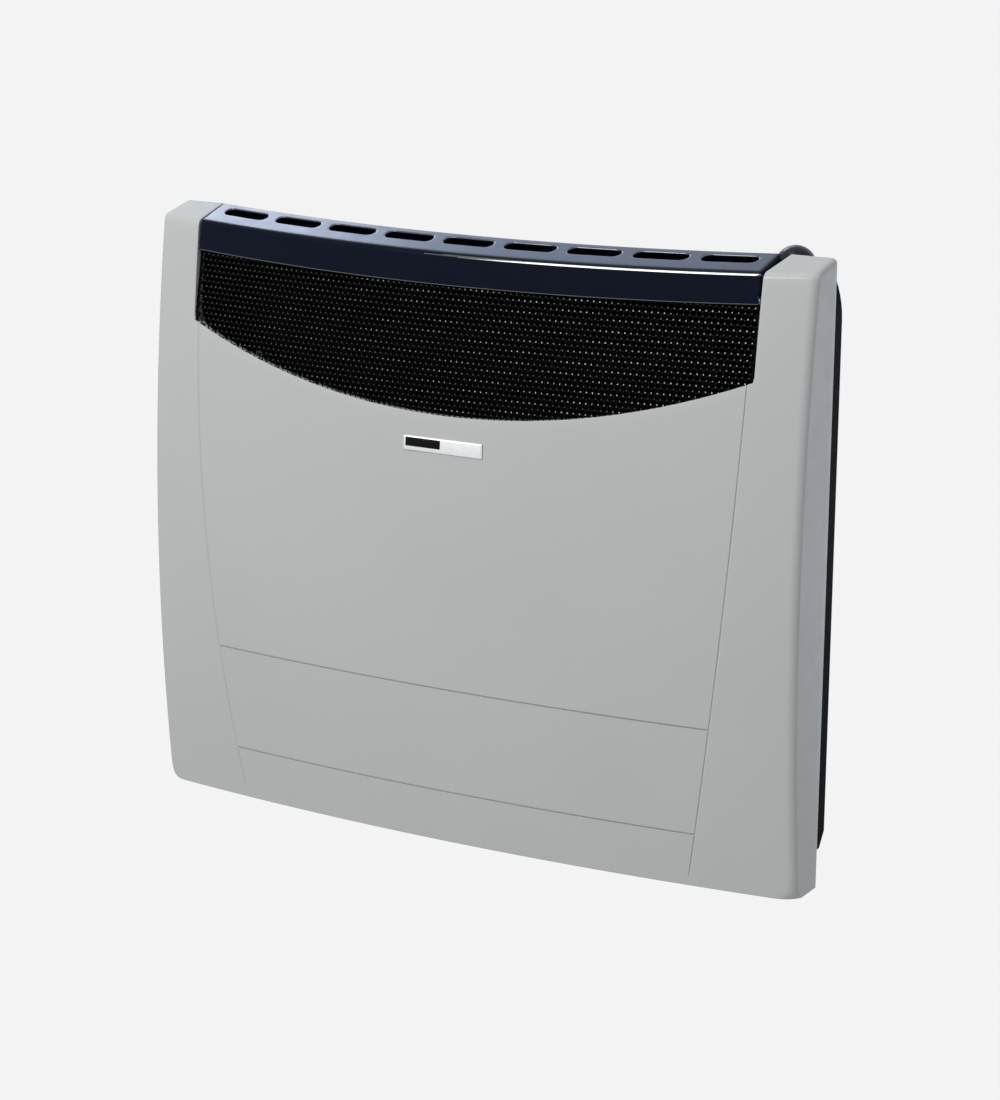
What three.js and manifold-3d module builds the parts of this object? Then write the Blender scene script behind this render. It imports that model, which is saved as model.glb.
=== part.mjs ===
import * as THREE from 'three';
import { mergeVertices } from 'three/addons/utils/BufferGeometryUtils.js';
import Module from 'manifold-3d';

// A balanced-flue gas heater that hangs flat on a wall. Millimetres.
// x runs to the right seen from the room, y into the wall, z up. Heights are measured from the
// casing's lower edge; the last lines move the origin up to the hanging point on the wall face.

const wasm = await Module();
wasm.setup();

// ---- driving dimensions -------------------------------------------------------------------

const SEAT_GAP = 0.3;             // gap left between two pieces that touch
const HANGING_DROP = 103;         // wall screws below the casing's top

// front casing: one pressed and enamelled sheet, bowed in plan and bellied in profile
const CASING_WIDTH = 720;
const CASING_HEIGHT = 603;
const CASING_SHEET = 1.2;
const SIDE_DEPTH_FOOT = 44.7;     // depth of the side wall at the foot, at mid height and on top
const SIDE_DEPTH_MIDDLE = 63.2;
const SIDE_DEPTH_TOP = 39.5;
const BOW_FOOT = 24.7;            // how far the middle of the front stands proud of its sides
const BOW_TOP = 31.9;
const CORNER_RADIUS = 11.6;
const TOP_EDGE_RADIUS = 8;
const TOP_SLOPE = 0.2325;         // the pillar tops fall towards the room
const REAR_RETURN = 18;           // width of the flange folded in along the rear edge
const RETURN_START = 70;          // the side returns start above the lower brackets
const FOOT_RETURN = 13;
const PILLAR_WIDTH = 51.7;
const OPENING_FLARE = 0.093;      // the opening widens towards the wall
const OPENING_FLANGE = 14;
const SMILE_DROP = 170.2;         // the front panel's curved upper edge below the casing's top
const SMILE_RISE = 83;
const GROOVE_LOW = 54.2;
const GROOVE_HIGH = 161.8;
const GROOVE_INSET_FOOT = 55.6;   // upright grooves, in from the opening's edges at three heights
const GROOVE_INSET_MIDDLE = 21.3;
const GROOVE_INSET_TOP = 5.3;
const GROOVE_START = 8;
const GROOVE_WIDTH = 2.6;
const GROOVE_DEPTH = 0.7;

// slotted vent cover between the two pillars
const COVER_SHEET = 1.2;
const COVER_SIDE_GAP = 1.6;       // from each end to the casing's opening
const COVER_RECESS = 3;           // lip behind the casing's front surface
const COVER_DEPTH = 41;
const COVER_REAR_DROP = 4.6;      // below the casing's top, in the middle; it rises at the ends
const COVER_FALL = 12.9;          // from its rear edge to its front edge
const COVER_LIP = 30;
const COVER_END_RISE = 5.6;
const COVER_EDGE_RADIUS = 4.5;
const COVER_END_STRIP = 2.6;
const COVER_REAR_FLANGE = 20;
const SLOT_COUNT = 9;
const SLOT_END_MARGIN = 42.7;     // from the opening's edge to the centre of the end slots
const SLOT_LENGTH = 54;
const SLOT_WIDTH = 14.2;
const SLOT_FROM_LIP = 25.5;
const COVER_BRACKET_WIDTH = 16;
const COVER_BRACKET_ARM = 28;

// perforated grille sheet behind the opening
const GRILLE_SHEET = 1;
const GRILLE_OVERLAP = 6;
const GRILLE_SIDE_GAP = 0.4;
const GRILLE_LEAN = 0.129;        // how fast it leans back above the panel's upper corners
const GRILLE_LEAN_DROP = 113;
const GRILLE_BEHIND_LIP = 18.5;
const GRILLE_COLUMNS = 12;        // a plain grid of openings stands for the fine round holes
const GRILLE_ROWS = 4;
const GRILLE_BAR = 5;
const GRILLE_MARGIN = 7;
const GRILLE_LEAST_OPENING = 8;

// badge on the front panel
const BADGE_WIDTH = 87.2;
const BADGE_HEIGHT = 14.4;
const BADGE_THICKNESS = 1.8;
const BADGE_BELOW_EDGE = 29.1;    // its centre below the panel's curved edge
const BADGE_CENTRE_X = -1.8;
const INLAY_WIDTH = 38.4;
const INLAY_HEIGHT = 8.6;
const INLAY_FROM_END = 3;
const INLAY_THICKNESS = 0.5;

// rear chassis: a shallow tray whose floor lies on the wall
const CHASSIS_SHEET = 1.2;
const CHASSIS_DEPTH = 58.2;
const CHASSIS_INSET = 19;         // behind the casing's side wall
const CHASSIS_TOP_DROP = 22;
const CHASSIS_FOOT = 10;
const CHASSIS_SHOULDER_DROP = 45; // where the sides start to curve in
const CHASSIS_SHOULDER_RADIUS = 100;
const CHASSIS_FOOT_TAPER = 4.5;
const CHASSIS_FOOT_TAPER_HEIGHT = 27;
const CHASSIS_LIP = 13;
const CHASSIS_TOP_LIP = 14;
const KEYHOLE_SPACING = 360;
const KEYHOLE_RADIUS = 6;
const KEYHOLE_SLOT_RADIUS = 3;
const KEYHOLE_RISE = 12;
const LOWER_HOLE_HEIGHT = 60;
const LOWER_HOLE_RADIUS = 4;
const HOOK_WIDTH = 9;
const HOOK_SHEET = 1.2;

// rails that carry the combustion chamber off the chassis
const RAIL_HEIGHT = 25.7;
const RAIL_SHEET = 1.2;
const RAIL_INSET = 20;            // each end in from the chamber's side
const RAIL_CROWN = 26;
const RAIL_FLANGE = 13;
const RAIL_FROM_END = 35;         // rail centres in from the chamber's two ends

// combustion chamber: two pressed trays, flange to flange on a gasket
const CHAMBER_SHEET = 1.2;
const CHAMBER_FROM_SIDE = 120;    // from the casing's side wall
const CHAMBER_FOOT = 110;
const CHAMBER_TOP_DROP = 78;
const CHAMBER_RADIUS = 22;
const CHAMBER_REAR_DEPTH = 60.5;
const CHAMBER_FRONT_DEPTH = 22;
const CHAMBER_FRONT_INSET = 14;
const CHAMBER_FLANGE = 15;
const CHAMBER_GASKET = 1;
const BOLT_RADIUS = 2;
const BOLT_HEAD_RADIUS = 4;
const BOLT_HEAD_HEIGHT = 2.6;
const BOLT_FROM_END = 65;

// flue and air collars, chamber to wall
const COLLAR_RADIUS = 40;
const COLLAR_SHEET = 1.2;
const COLLAR_FLANGE = 12;
const COLLAR_GASKET = 1;
const COLLAR_CLEARANCE = 0.6;
const EXHAUST_DROP = 125;         // duct centre below the chamber's top
const INTAKE_RISE = 125;          // duct centre above the chamber's foot
const BAFFLE_WIDTH = 130;
const BAFFLE_HEIGHT = 120;
const BAFFLE_STANDOFF = 22;

// burner
const BURNER_RADIUS = 16;
const BURNER_WALL = 1;
const BURNER_INSET = 40;          // each end in from the chamber's side
const BURNER_RISE = 55;           // burner axis above the chamber's foot
const BURNER_PORTS = 13;
const BURNER_PORT_WIDTH = 3;
const THROAT_RADIUS = 11;
const MOUTH_RADIUS = 14;
const VENTURI_LENGTH = 27;
const END_PEG_RADIUS = 4;
const END_PEG_LENGTH = 14;
const BURNER_PLATE = 2;
const BURNER_WINDOW_HEIGHT = 48;
const BURNER_WINDOW_DEPTH = 45;
const BURNER_PLATE_RIM = 7;
const PASS_GAP = 0.8;             // round a pipe or lead where it passes through the plate
const HOLDER_RADIUS = 6;
const HOLDER_LENGTH = 27;
const JET_LENGTH = 8;
const JET_GAP = 4;

// pilot group
const PILOT_FROM_SIDE = 90;       // from the chamber's right side
const PILOT_PITCH = 12;
const PILOT_Y_FROM_BURNER = 26;
const PILOT_BRACKET = 1.5;

// sight glass in the chamber's front
const GLASS_RADIUS = 21;
const GLASS_THICKNESS = 3;
const GLASS_RISE = 30;            // above the burner
const GLASS_FRAME_RIM = 7;
const GLASS_FRAME_SHEET = 1.4;

// control line: knob, rod, spindle and valve share one upright axis
const CONTROL_FROM_SIDE = 54.7;   // axis in from the casing's side wall
const KNOB_RADIUS = 19.7;
const KNOB_DOME_DROP = 15.9;      // dome centre below the casing's top
const KNOB_SKIRT = 15.1;
const KNOB_SOCKET = 18;
const ROD_RADIUS = 4;
const RUNNING_GAP = 0.3;
const PRESS_TRAVEL = 5;
const SHELF_BELOW_KNOB = 21;
const SHELF_SHEET = 1.5;
const SHELF_WIDTH = 36;
const BUSH_RADIUS = 8;
const BUSH_FLANGE = 2.5;
const BUSH_FLANGE_HEIGHT = 2;
const COUPLER_RADIUS = 7;
const COUPLER_LENGTH = 30;
const SPINDLE_LENGTH = 52;
const VALVE_WIDTH = 42;
const VALVE_DEPTH = 36;
const VALVE_FOOT = 150;
const VALVE_HEIGHT = 80;
const BONNET_RADIUS = 14;
const BONNET_HEIGHT = 8;
const INLET_PIPE_RADIUS = 8;
const INLET_PIPE_WALL = 1.5;
const NIPPLE_FOOT = 20;
const NIPPLE_THREAD_LENGTH = 20;
const NIPPLE_THREAD_RADIUS = 10.5;
const NIPPLE_HEX_RADIUS = 14;
const NIPPLE_HEX_HEIGHT = 14;
const NIPPLE_BORE = 7;
const SUPPLY_PIPE_RADIUS = 4;
const PILOT_PIPE_RADIUS = 2;
const LEAD_RADIUS = 1.2;
const WIRE_RADIUS = 1.5;
const PIPE_STEPS = 38;
const PORT_RUN = 6;               // straight out of a port
const ROUTE_BEND = 16;
const ROUTE_EASE = 1.5;
const PILOT_PORT_INSET = 9;
const PILOT_PORT_RISE = 10;
const PILOT_SAG = 6;
const PILOT_DIP = 14;
const LEAD_PORT_INSET = 8;
const LEAD_PORT_DROP = 7;
const LEAD_SAG = 12;
const LEAD_DIP = 20;
const WIRE_PORT_INSET = 6;
const WIRE_PORT_RISE = 32;
const WIRE_HUMP = 4;
const WIRE_DIP = 8;
const DEFLECTOR_SHEET = 1.2;
const DEFLECTOR_FLANGE = 12;

// screws that hold the casing's foot
const FOOT_SCREW_FROM_SIDE = 7.5;
const FOOT_SCREW_FROM_REAR = 24;
const FOOT_HOLE = 2.4;
const FOOT_SCREW_RADIUS = 2;

// ---- levels worked out from them ------------------------------------------------------------

const HALF_WIDTH = CASING_WIDTH / 2;
const HANGING_HEIGHT = CASING_HEIGHT - HANGING_DROP;
const OPENING_WIDTH = CASING_WIDTH - 2 * PILLAR_WIDTH;
const GROOVE_SPACING_FOOT = OPENING_WIDTH - 2 * GROOVE_INSET_FOOT;
const GROOVE_SPACING_MIDDLE = OPENING_WIDTH - 2 * GROOVE_INSET_MIDDLE;
const GROOVE_SPACING_TOP = OPENING_WIDTH - 2 * GROOVE_INSET_TOP;
const SLOT_PITCH = (OPENING_WIDTH - 2 * SLOT_END_MARGIN) / (SLOT_COUNT - 1);
const CHAMBER_WIDTH = CASING_WIDTH - 2 * CHAMBER_FROM_SIDE;
const RAIL_LENGTH = CHAMBER_WIDTH - 2 * RAIL_INSET;
const BURNER_LENGTH = CHAMBER_WIDTH - 2 * BURNER_INSET;
const PILOT_X = CHAMBER_WIDTH / 2 - PILOT_FROM_SIDE;
const GLASS_X = PILOT_X;
const SMILE_LOW = CASING_HEIGHT - SMILE_DROP;
const COVER_REAR_HEIGHT = CASING_HEIGHT - COVER_REAR_DROP;
const COVER_FRONT_HEIGHT = COVER_REAR_HEIGHT - COVER_FALL;
const COVER_LIP_FOOT = COVER_FRONT_HEIGHT - COVER_LIP;
const GRILLE_LEAN_START = CASING_HEIGHT - GRILLE_LEAN_DROP;
const GRILLE_TOP = COVER_LIP_FOOT + GRILLE_BEHIND_LIP;
const CHASSIS_TOP = CASING_HEIGHT - CHASSIS_TOP_DROP;
const CHASSIS_SHOULDER = CHASSIS_TOP - CHASSIS_SHOULDER_DROP;
const CHAMBER_TOP = CASING_HEIGHT - CHAMBER_TOP_DROP;
const UPPER_RAIL_Z = CHAMBER_TOP - RAIL_FROM_END;
const LOWER_RAIL_Z = CHAMBER_FOOT + RAIL_FROM_END;
const BOLT_HEIGHTS = [CHAMBER_FOOT + BOLT_FROM_END, CHAMBER_TOP - BOLT_FROM_END];
const EXHAUST_Z = CHAMBER_TOP - EXHAUST_DROP;
const INTAKE_Z = CHAMBER_FOOT + INTAKE_RISE;
const BURNER_Z = CHAMBER_FOOT + BURNER_RISE;
const GLASS_Z = BURNER_Z + GLASS_RISE;
const KNOB_DOME_CENTRE = CASING_HEIGHT - KNOB_DOME_DROP;
const KNOB_FOOT = KNOB_DOME_CENTRE - KNOB_SKIRT;
const SHELF_Z = KNOB_FOOT - SHELF_BELOW_KNOB;
const CASING_REAR = -(CHASSIS_DEPTH + SEAT_GAP);
const CONTROL_X = HALF_WIDTH - CONTROL_FROM_SIDE;
const CONTROL_Y = -CHASSIS_DEPTH / 2;
const CHASSIS_HALF = HALF_WIDTH - CHASSIS_INSET;
const ON_CHASSIS = -(CHASSIS_SHEET + SEAT_GAP);
const RAIL_FRONT = ON_CHASSIS - RAIL_HEIGHT;
const CHAMBER_BACK = RAIL_FRONT - SEAT_GAP;
const REAR_FLANGE_FRONT = CHAMBER_BACK - CHAMBER_REAR_DEPTH - CHAMBER_SHEET;
const GASKET_REAR = REAR_FLANGE_FRONT - SEAT_GAP;
const FRONT_FLANGE_REAR = GASKET_REAR - CHAMBER_GASKET - SEAT_GAP;
const CHAMBER_FRONT = FRONT_FLANGE_REAR - CHAMBER_SHEET - CHAMBER_FRONT_DEPTH;
const CHAMBER_HALF = CHAMBER_WIDTH / 2;
const footScrewX = HALF_WIDTH - FOOT_SCREW_FROM_SIDE;
const footScrewY = CASING_REAR - FOOT_SCREW_FROM_REAR;
const BURNER_Y = CHAMBER_BACK - CHAMBER_REAR_DEPTH / 2;
const PLATE_INNER = CHAMBER_HALF + SEAT_GAP + CHAMBER_GASKET + SEAT_GAP;
const PLATE_OUTER = PLATE_INNER + BURNER_PLATE;

// the casing's front surface
function sideDepth(z) {
  const s = z / (CASING_HEIGHT / 2) - 1;
  const slope = (SIDE_DEPTH_TOP - SIDE_DEPTH_FOOT) / 2;
  const belly = (SIDE_DEPTH_TOP + SIDE_DEPTH_FOOT) / 2 - SIDE_DEPTH_MIDDLE;
  return SIDE_DEPTH_MIDDLE + slope * s + belly * s * s;
}

function frontY(x, z) {
  const bow = BOW_FOOT + (BOW_TOP - BOW_FOOT) * (z / CASING_HEIGHT);
  return CASING_REAR - sideDepth(z) - bow * (1 - (x / HALF_WIDTH) ** 2);
}

function smile(x) {
  const u = x / HALF_WIDTH;
  return SMILE_LOW + SMILE_RISE * (0.95 * u * u + 0.05 * u ** 4);
}

function grooveHalf(z) {
  const s = (2 * z) / smile(OPENING_WIDTH / 2) - 1;
  const slope = (GROOVE_SPACING_TOP - GROOVE_SPACING_FOOT) / 4;
  const curve = (GROOVE_SPACING_TOP + GROOVE_SPACING_FOOT) / 4 - GROOVE_SPACING_MIDDLE / 2;
  return GROOVE_SPACING_MIDDLE / 2 + slope * s + curve * s * s;
}

// ---- shapes ---------------------------------------------------------------------------------

function solidOf(geometry) {
  const bare = geometry.clone();
  bare.deleteAttribute('normal');
  bare.deleteAttribute('uv');
  const merged = mergeVertices(bare, 1e-4);
  return new wasm.Manifold(new wasm.Mesh({
    numProp: 3,
    vertProperties: new Float32Array(merged.attributes.position.array),
    triVerts: new Uint32Array(merged.index.array),
  }));
}

function geometryOf(solid) {
  const mesh = solid.getMesh();
  const geometry = new THREE.BufferGeometry();
  geometry.setAttribute('position', new THREE.BufferAttribute(new Float32Array(mesh.vertProperties), 3));
  geometry.setIndex(new THREE.BufferAttribute(new Uint32Array(mesh.triVerts), 1));
  geometry.computeVertexNormals();
  return geometry;
}

function cut(body, ...tools) {
  return geometryOf(tools.reduce((solid, tool) => solid.subtract(solidOf(tool)), solidOf(body)));
}

function join(first, ...others) {
  return geometryOf(others.reduce((solid, other) => solid.add(solidOf(other)), solidOf(first)));
}

function common(first, second) {
  return geometryOf(solidOf(first).intersect(solidOf(second)));
}

function mirrored(geometry) {
  const copy = geometry.index ? geometry.toNonIndexed() : geometry.clone();
  copy.scale(-1, 1, 1);
  const position = copy.attributes.position;
  for (let i = 0; i < position.count; i += 3) {
    const first = new THREE.Vector3().fromBufferAttribute(position, i);
    const last = new THREE.Vector3().fromBufferAttribute(position, i + 2);
    position.setXYZ(i, last.x, last.y, last.z);
    position.setXYZ(i + 2, first.x, first.y, first.z);
  }
  return copy;
}

function boxBetween(x0, x1, y0, y1, z0, z1) {
  return new THREE.BoxGeometry(x1 - x0, y1 - y0, z1 - z0)
    .translate((x0 + x1) / 2, (y0 + y1) / 2, (z0 + z1) / 2);
}

// an upright outline in x and z, from y0 to y1
function plateXZ(shape, y0, y1) {
  return new THREE.ExtrudeGeometry(shape, { depth: y1 - y0, bevelEnabled: false, curveSegments: 4 })
    .rotateX(Math.PI / 2).translate(0, y1, 0);
}

// a flat outline in x and y, from z0 to z1
function plateXY(shape, z0, z1) {
  return new THREE.ExtrudeGeometry(shape, { depth: z1 - z0, bevelEnabled: false, curveSegments: 6 })
    .translate(0, 0, z0);
}

// a section in y and z, drawn out from x0 to x1
function sectionYZ(points, x0, x1) {
  const shape = new THREE.Shape(points.map(([y, z]) => new THREE.Vector2(y, z)));
  const turn = new THREE.Matrix4().makeBasis(
    new THREE.Vector3(0, 1, 0), new THREE.Vector3(0, 0, 1), new THREE.Vector3(1, 0, 0));
  return new THREE.ExtrudeGeometry(shape, { depth: x1 - x0, bevelEnabled: false })
    .applyMatrix4(turn).translate(x0, 0, 0);
}

function outline(points) {
  return new THREE.Shape(points.map(([a, b]) => new THREE.Vector2(a, b)));
}

function roundedRect(x0, x1, z0, z1, radius) {
  const shape = new THREE.Shape();
  shape.absarc(x1 - radius, z0 + radius, radius, -Math.PI / 2, 0, false);
  shape.absarc(x1 - radius, z1 - radius, radius, 0, Math.PI / 2, false);
  shape.absarc(x0 + radius, z1 - radius, radius, Math.PI / 2, Math.PI, false);
  shape.absarc(x0 + radius, z0 + radius, radius, Math.PI, Math.PI * 1.5, false);
  return shape;
}

// a turned piece: [radius, height] pairs about +z, laid over to another axis when asked
function turned(profile, axis, x, y, z, sides = 20) {
  const points = profile.map(([radius, height]) => new THREE.Vector2(radius, height));
  const geometry = new THREE.LatheGeometry(points, sides);
  if (axis === 'z') geometry.rotateX(Math.PI / 2);
  if (axis === 'x') geometry.rotateZ(-Math.PI / 2);
  return geometry.translate(x, y, z);
}

// a rod or tube about an axis, from one coordinate to the next along it
function rod(radius, from, to, axis, a, b, sides = 16) {
  const geometry = new THREE.CylinderGeometry(radius, radius, to - from, sides);
  const middle = (from + to) / 2;
  if (axis === 'x') return geometry.rotateZ(Math.PI / 2).translate(middle, a, b);
  if (axis === 'y') return geometry.translate(a, middle, b);
  return geometry.rotateX(Math.PI / 2).translate(a, b, middle);
}

function pipe(points, radius, steps, sides = 8) {
  const path = new THREE.CatmullRomCurve3(points.map((p) => new THREE.Vector3(...p)), false, 'centripetal');
  const rim = new THREE.Shape(Array.from({ length: sides }, (_, i) => {
    const angle = (i / sides) * Math.PI * 2;
    return new THREE.Vector2(radius * Math.cos(angle), radius * Math.sin(angle));
  }));
  return new THREE.ExtrudeGeometry(rim, { steps, extrudePath: path, bevelEnabled: false });
}

// a closed skin through rings of equally many points, with a flat cap on each end
function loft(rings, capOf) {
  const count = rings[0].length;
  const positions = rings.flat(2);
  const index = [];
  for (let r = 0; r + 1 < rings.length; r += 1) {
    for (let i = 0; i < count; i += 1) {
      const a = r * count + i;
      const b = r * count + ((i + 1) % count);
      index.push(a, b, b + count, a, b + count, a + count);
    }
  }
  const cap = (ring, offset, flip) => {
    const flat = ring.map((point) => new THREE.Vector2(...capOf(point)));
    const turnOver = flip !== THREE.ShapeUtils.isClockWise(flat);
    for (const [a, b, c] of THREE.ShapeUtils.triangulateShape(flat, [])) {
      index.push(...(turnOver ? [offset + a, offset + c, offset + b] : [offset + a, offset + b, offset + c]));
    }
  };
  cap(rings[0], 0, true);
  cap(rings[rings.length - 1], (rings.length - 1) * count, false);
  const geometry = new THREE.BufferGeometry();
  geometry.setAttribute('position', new THREE.Float32BufferAttribute(positions, 3));
  geometry.setIndex(index);
  const solid = solidOf(geometry);
  if (solid.volume() > 0) return geometryOf(solid);
  for (let i = 0; i < index.length; i += 3) [index[i], index[i + 1]] = [index[i + 1], index[i]];
  geometry.setIndex(index);
  return geometryOf(solidOf(geometry));
}

// ---- materials and the list of pieces -------------------------------------------------------

const finish = (color, roughness, metalness) => ({ color, roughness, metalness });
const ENAMEL = finish(0xb5b7b4, 0.42, 0.0);
const NAVY_GLOSS = finish(0x141b2b, 0.22, 0.1);
const BLACK_SHEET = finish(0x121316, 0.55, 0.1);
const BRIGHT = finish(0xd6d8da, 0.25, 0.9);
const GALVANISED = finish(0x9a9d9f, 0.5, 0.7);
const CHAMBER_ENAMEL = finish(0x24262a, 0.5, 0.2);
const ALUMINIUM = finish(0xb9bcc0, 0.4, 0.9);
const BRASS = finish(0xb5924a, 0.35, 0.9);
const FIBRE = finish(0xd8d4c8, 0.9, 0.0);
const STEEL = finish(0x8d9094, 0.35, 0.9);
const BLACK_PLASTIC = finish(0x1a1b1d, 0.5, 0.0);
const CERAMIC = finish(0xe8e4d8, 0.4, 0.0);
const COPPER = finish(0xa8623c, 0.35, 0.9);
const GLASS = finish(0xcfd8d6, 0.05, 0.0);

const heater = new THREE.Group();
heater.position.z = -HANGING_HEIGHT;

function piece(name, geometry, look) {
  const mesh = new THREE.Mesh(geometry, new THREE.MeshStandardMaterial(look));
  mesh.name = name;
  heater.add(mesh);
  return mesh;
}

// ---- front casing ---------------------------------------------------------------------------

const FRONT_STATIONS = 16;
const CORNER_STATIONS = 4;

// the casing's plan at one height, moved inwards; the rear corners stay on the plane rearY
function casingPlan(z, inset, rearY) {
  const radius = Math.max(CORNER_RADIUS - inset, 0.5);
  const half = HALF_WIDTH - inset;
  const lean = Math.atan2(frontY(half, z) - frontY(half - 1, z), 1);
  const centreX = half - radius;
  const arcEndX = centreX + radius * Math.sin(lean);
  const centreY = frontY(arcEndX, z) + inset + radius * Math.cos(lean);
  const right = [[half, rearY]];
  for (let i = 0; i <= CORNER_STATIONS; i += 1) {
    const angle = (i / CORNER_STATIONS) * (Math.PI / 2 - lean);
    right.push([centreX + radius * Math.cos(angle), centreY - radius * Math.sin(angle)]);
  }
  const front = [];
  for (let i = 1; i < FRONT_STATIONS; i += 1) {
    const x = arcEndX * (1 - (2 * i) / FRONT_STATIONS);
    front.push([x, frontY(x, z) + inset]);
  }
  const left = right.map(([x, y]) => [-x, y]).reverse();
  return [...right, ...front, ...left];
}

// the space inside the casing's skin, moved inwards by inset
function casingBody(inset, footZ, rearY) {
  const edge = Math.max(TOP_EDGE_RADIUS - inset, 0.5);
  const roof = (y) => CASING_HEIGHT - inset + TOP_SLOPE * (y - CASING_REAR);
  const ring = (extraInset, heightOf) => {
    const count = casingPlan(0, inset, rearY).length;
    return Array.from({ length: count }, (_, i) => {
      let z = CASING_HEIGHT / 2;
      let point = [0, 0];
      for (let pass = 0; pass < 4; pass += 1) {
        point = casingPlan(z, inset + extraInset, rearY)[i];
        z = heightOf(point[1]);
      }
      return [point[0], point[1], z];
    });
  };
  const rings = [];
  const rows = 9;
  for (let row = 0; row <= rows; row += 1) {
    rings.push(ring(0, (y) => footZ + (row / rows) * (roof(y) - edge - footZ)));
  }
  for (const angle of [Math.PI / 6, Math.PI / 3, Math.PI / 2]) {
    rings.push(ring(edge * (1 - Math.cos(angle)), (y) => roof(y) - edge + edge * Math.sin(angle)));
  }
  return loft(rings, ([x, y]) => [x, y]);
}

// the opening between the pillars: everything above the smile, flaring towards the wall
function openingPrism(grow) {
  const half = OPENING_WIDTH / 2 + grow;
  const points = [];
  for (let i = 0; i <= 24; i += 1) {
    const x = half * ((2 * i) / 24 - 1);
    points.push([x, smile(x)]);
  }
  points.push([half, CASING_HEIGHT + 60], [-half, CASING_HEIGHT + 60]);
  const farY = CASING_REAR + 30;
  const nearY = CASING_REAR - 140;
  const referenceY = frontY(half, GRILLE_LEAN_START);
  const geometry = plateXZ(outline(points), nearY, farY);
  const position = geometry.attributes.position;
  for (let i = 0; i < position.count; i += 1) {
    const flare = OPENING_FLARE * (position.getY(i) - referenceY);
    position.setX(i, position.getX(i) * (1 + flare / half));
  }
  return geometry;
}

// a V-shaped groove pressed along a list of [x, z] points; acrossX says which way its width runs
function grooveTool(points, acrossX) {
  const half = GROOVE_WIDTH / 2;
  const rings = points.map(([x, z]) => {
    const [dx, dz] = acrossX ? [half, 0] : [0, half];
    return [
      [x - dx, frontY(x - dx, z - dz) - 0.4, z - dz],
      [x, frontY(x, z) + GROOVE_DEPTH, z],
      [x + dx, frontY(x + dx, z + dz) - 0.4, z + dz],
    ];
  });
  return loft(rings, acrossX ? ([x, y]) => [x, y] : ([, y, z]) => [y, z]);
}

function spread(from, to, count) {
  return Array.from({ length: count + 1 }, (_, i) => from + ((to - from) * i) / count);
}

function buildCasing() {
  const rearCut = CASING_REAR + 10;
  const hollow = casingBody(CASING_SHEET, CASING_SHEET, CASING_REAR - CASING_SHEET);
  const shell = cut(
    casingBody(0, 0, CASING_REAR),
    hollow,
    boxBetween(-HALF_WIDTH + REAR_RETURN, HALF_WIDTH - REAR_RETURN, CASING_REAR - 5, rearCut,
      -5, CASING_HEIGHT - REAR_RETURN),
    boxBetween(-HALF_WIDTH + CASING_SHEET, HALF_WIDTH - CASING_SHEET, CASING_REAR - 5, rearCut,
      -5, RETURN_START),
    common(boxBetween(-HALF_WIDTH, HALF_WIDTH, CASING_REAR - 200, rearCut, -5, 5),
      casingBody(FOOT_RETURN, -10, rearCut)),
    openingPrism(0),
  );
  // flanges folded in along both sides of the opening and over the pillar tops
  const flangeBand = cut(openingPrism(CASING_SHEET), openingPrism(0));
  const besides = boxBetween(-HALF_WIDTH, HALF_WIDTH, CASING_REAR - 200, CASING_REAR,
    smile(OPENING_WIDTH / 2) + 1, CASING_HEIGHT + 20);
  const flanges = cut(
    common(common(flangeBand, besides), casingBody(CASING_SHEET / 2, 0, CASING_REAR)),
    casingBody(OPENING_FLANGE, 0, CASING_REAR + 5),
    boxBetween(-OPENING_WIDTH / 2, OPENING_WIDTH / 2, CASING_REAR - 200, CASING_REAR + 20, 0, 900),
  );
  const grooves = [GROOVE_LOW, GROOVE_HIGH].map((z) => {
    const reach = grooveHalf(z);
    return grooveTool(spread(-reach, reach, FRONT_STATIONS).map((x) => [x, z]), false);
  });
  for (const side of [-1, 1]) {
    const heights = spread(GROOVE_START, smile(GROOVE_SPACING_TOP / 2) + 1, 9);
    grooves.push(grooveTool(heights.map((z) => [side * grooveHalf(z), z]), true));
  }
  const screwHoles = [-1, 1].map((side) => (
    rod(FOOT_HOLE, -5, 10, 'z', side * footScrewX, footScrewY, 8)));
  return cut(join(shell, flanges), ...grooves, ...screwHoles);
}

piece('front_casing', buildCasing(), ENAMEL);

// hooks on the casing's rear flange that drop over the ends of the chassis lips
const HOOK_REACH = 17;
function hookSection() {
  const plate = CASING_REAR + SEAT_GAP;
  const behindLip = -CHASSIS_DEPTH + CHASSIS_SHEET + SEAT_GAP;
  const lipEnd = CHASSIS_SHOULDER + SEAT_GAP;
  return [
    [plate, lipEnd], [plate, lipEnd + 2 * HOOK_REACH], [plate + HOOK_SHEET, lipEnd + 2 * HOOK_REACH],
    [plate + HOOK_SHEET, lipEnd + HOOK_SHEET], [behindLip + HOOK_SHEET, lipEnd + HOOK_SHEET],
    [behindLip + HOOK_SHEET, lipEnd - HOOK_REACH], [behindLip, lipEnd - HOOK_REACH], [behindLip, lipEnd],
  ];
}
const hookX = HALF_WIDTH - REAR_RETURN + 1.5;
const rightHook = sectionYZ(hookSection(), hookX, hookX + HOOK_WIDTH);
piece('casing_hook_right', rightHook, GALVANISED);
piece('casing_hook_left', mirrored(rightHook), GALVANISED);

// ---- vent cover -----------------------------------------------------------------------------

const COVER_STATIONS = 14;
const rise = (x) => COVER_END_RISE * (x / (OPENING_WIDTH / 2)) ** 2;
const coverRearY = (x) => frontY(x, COVER_FRONT_HEIGHT) + COVER_RECESS + COVER_DEPTH;

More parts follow.
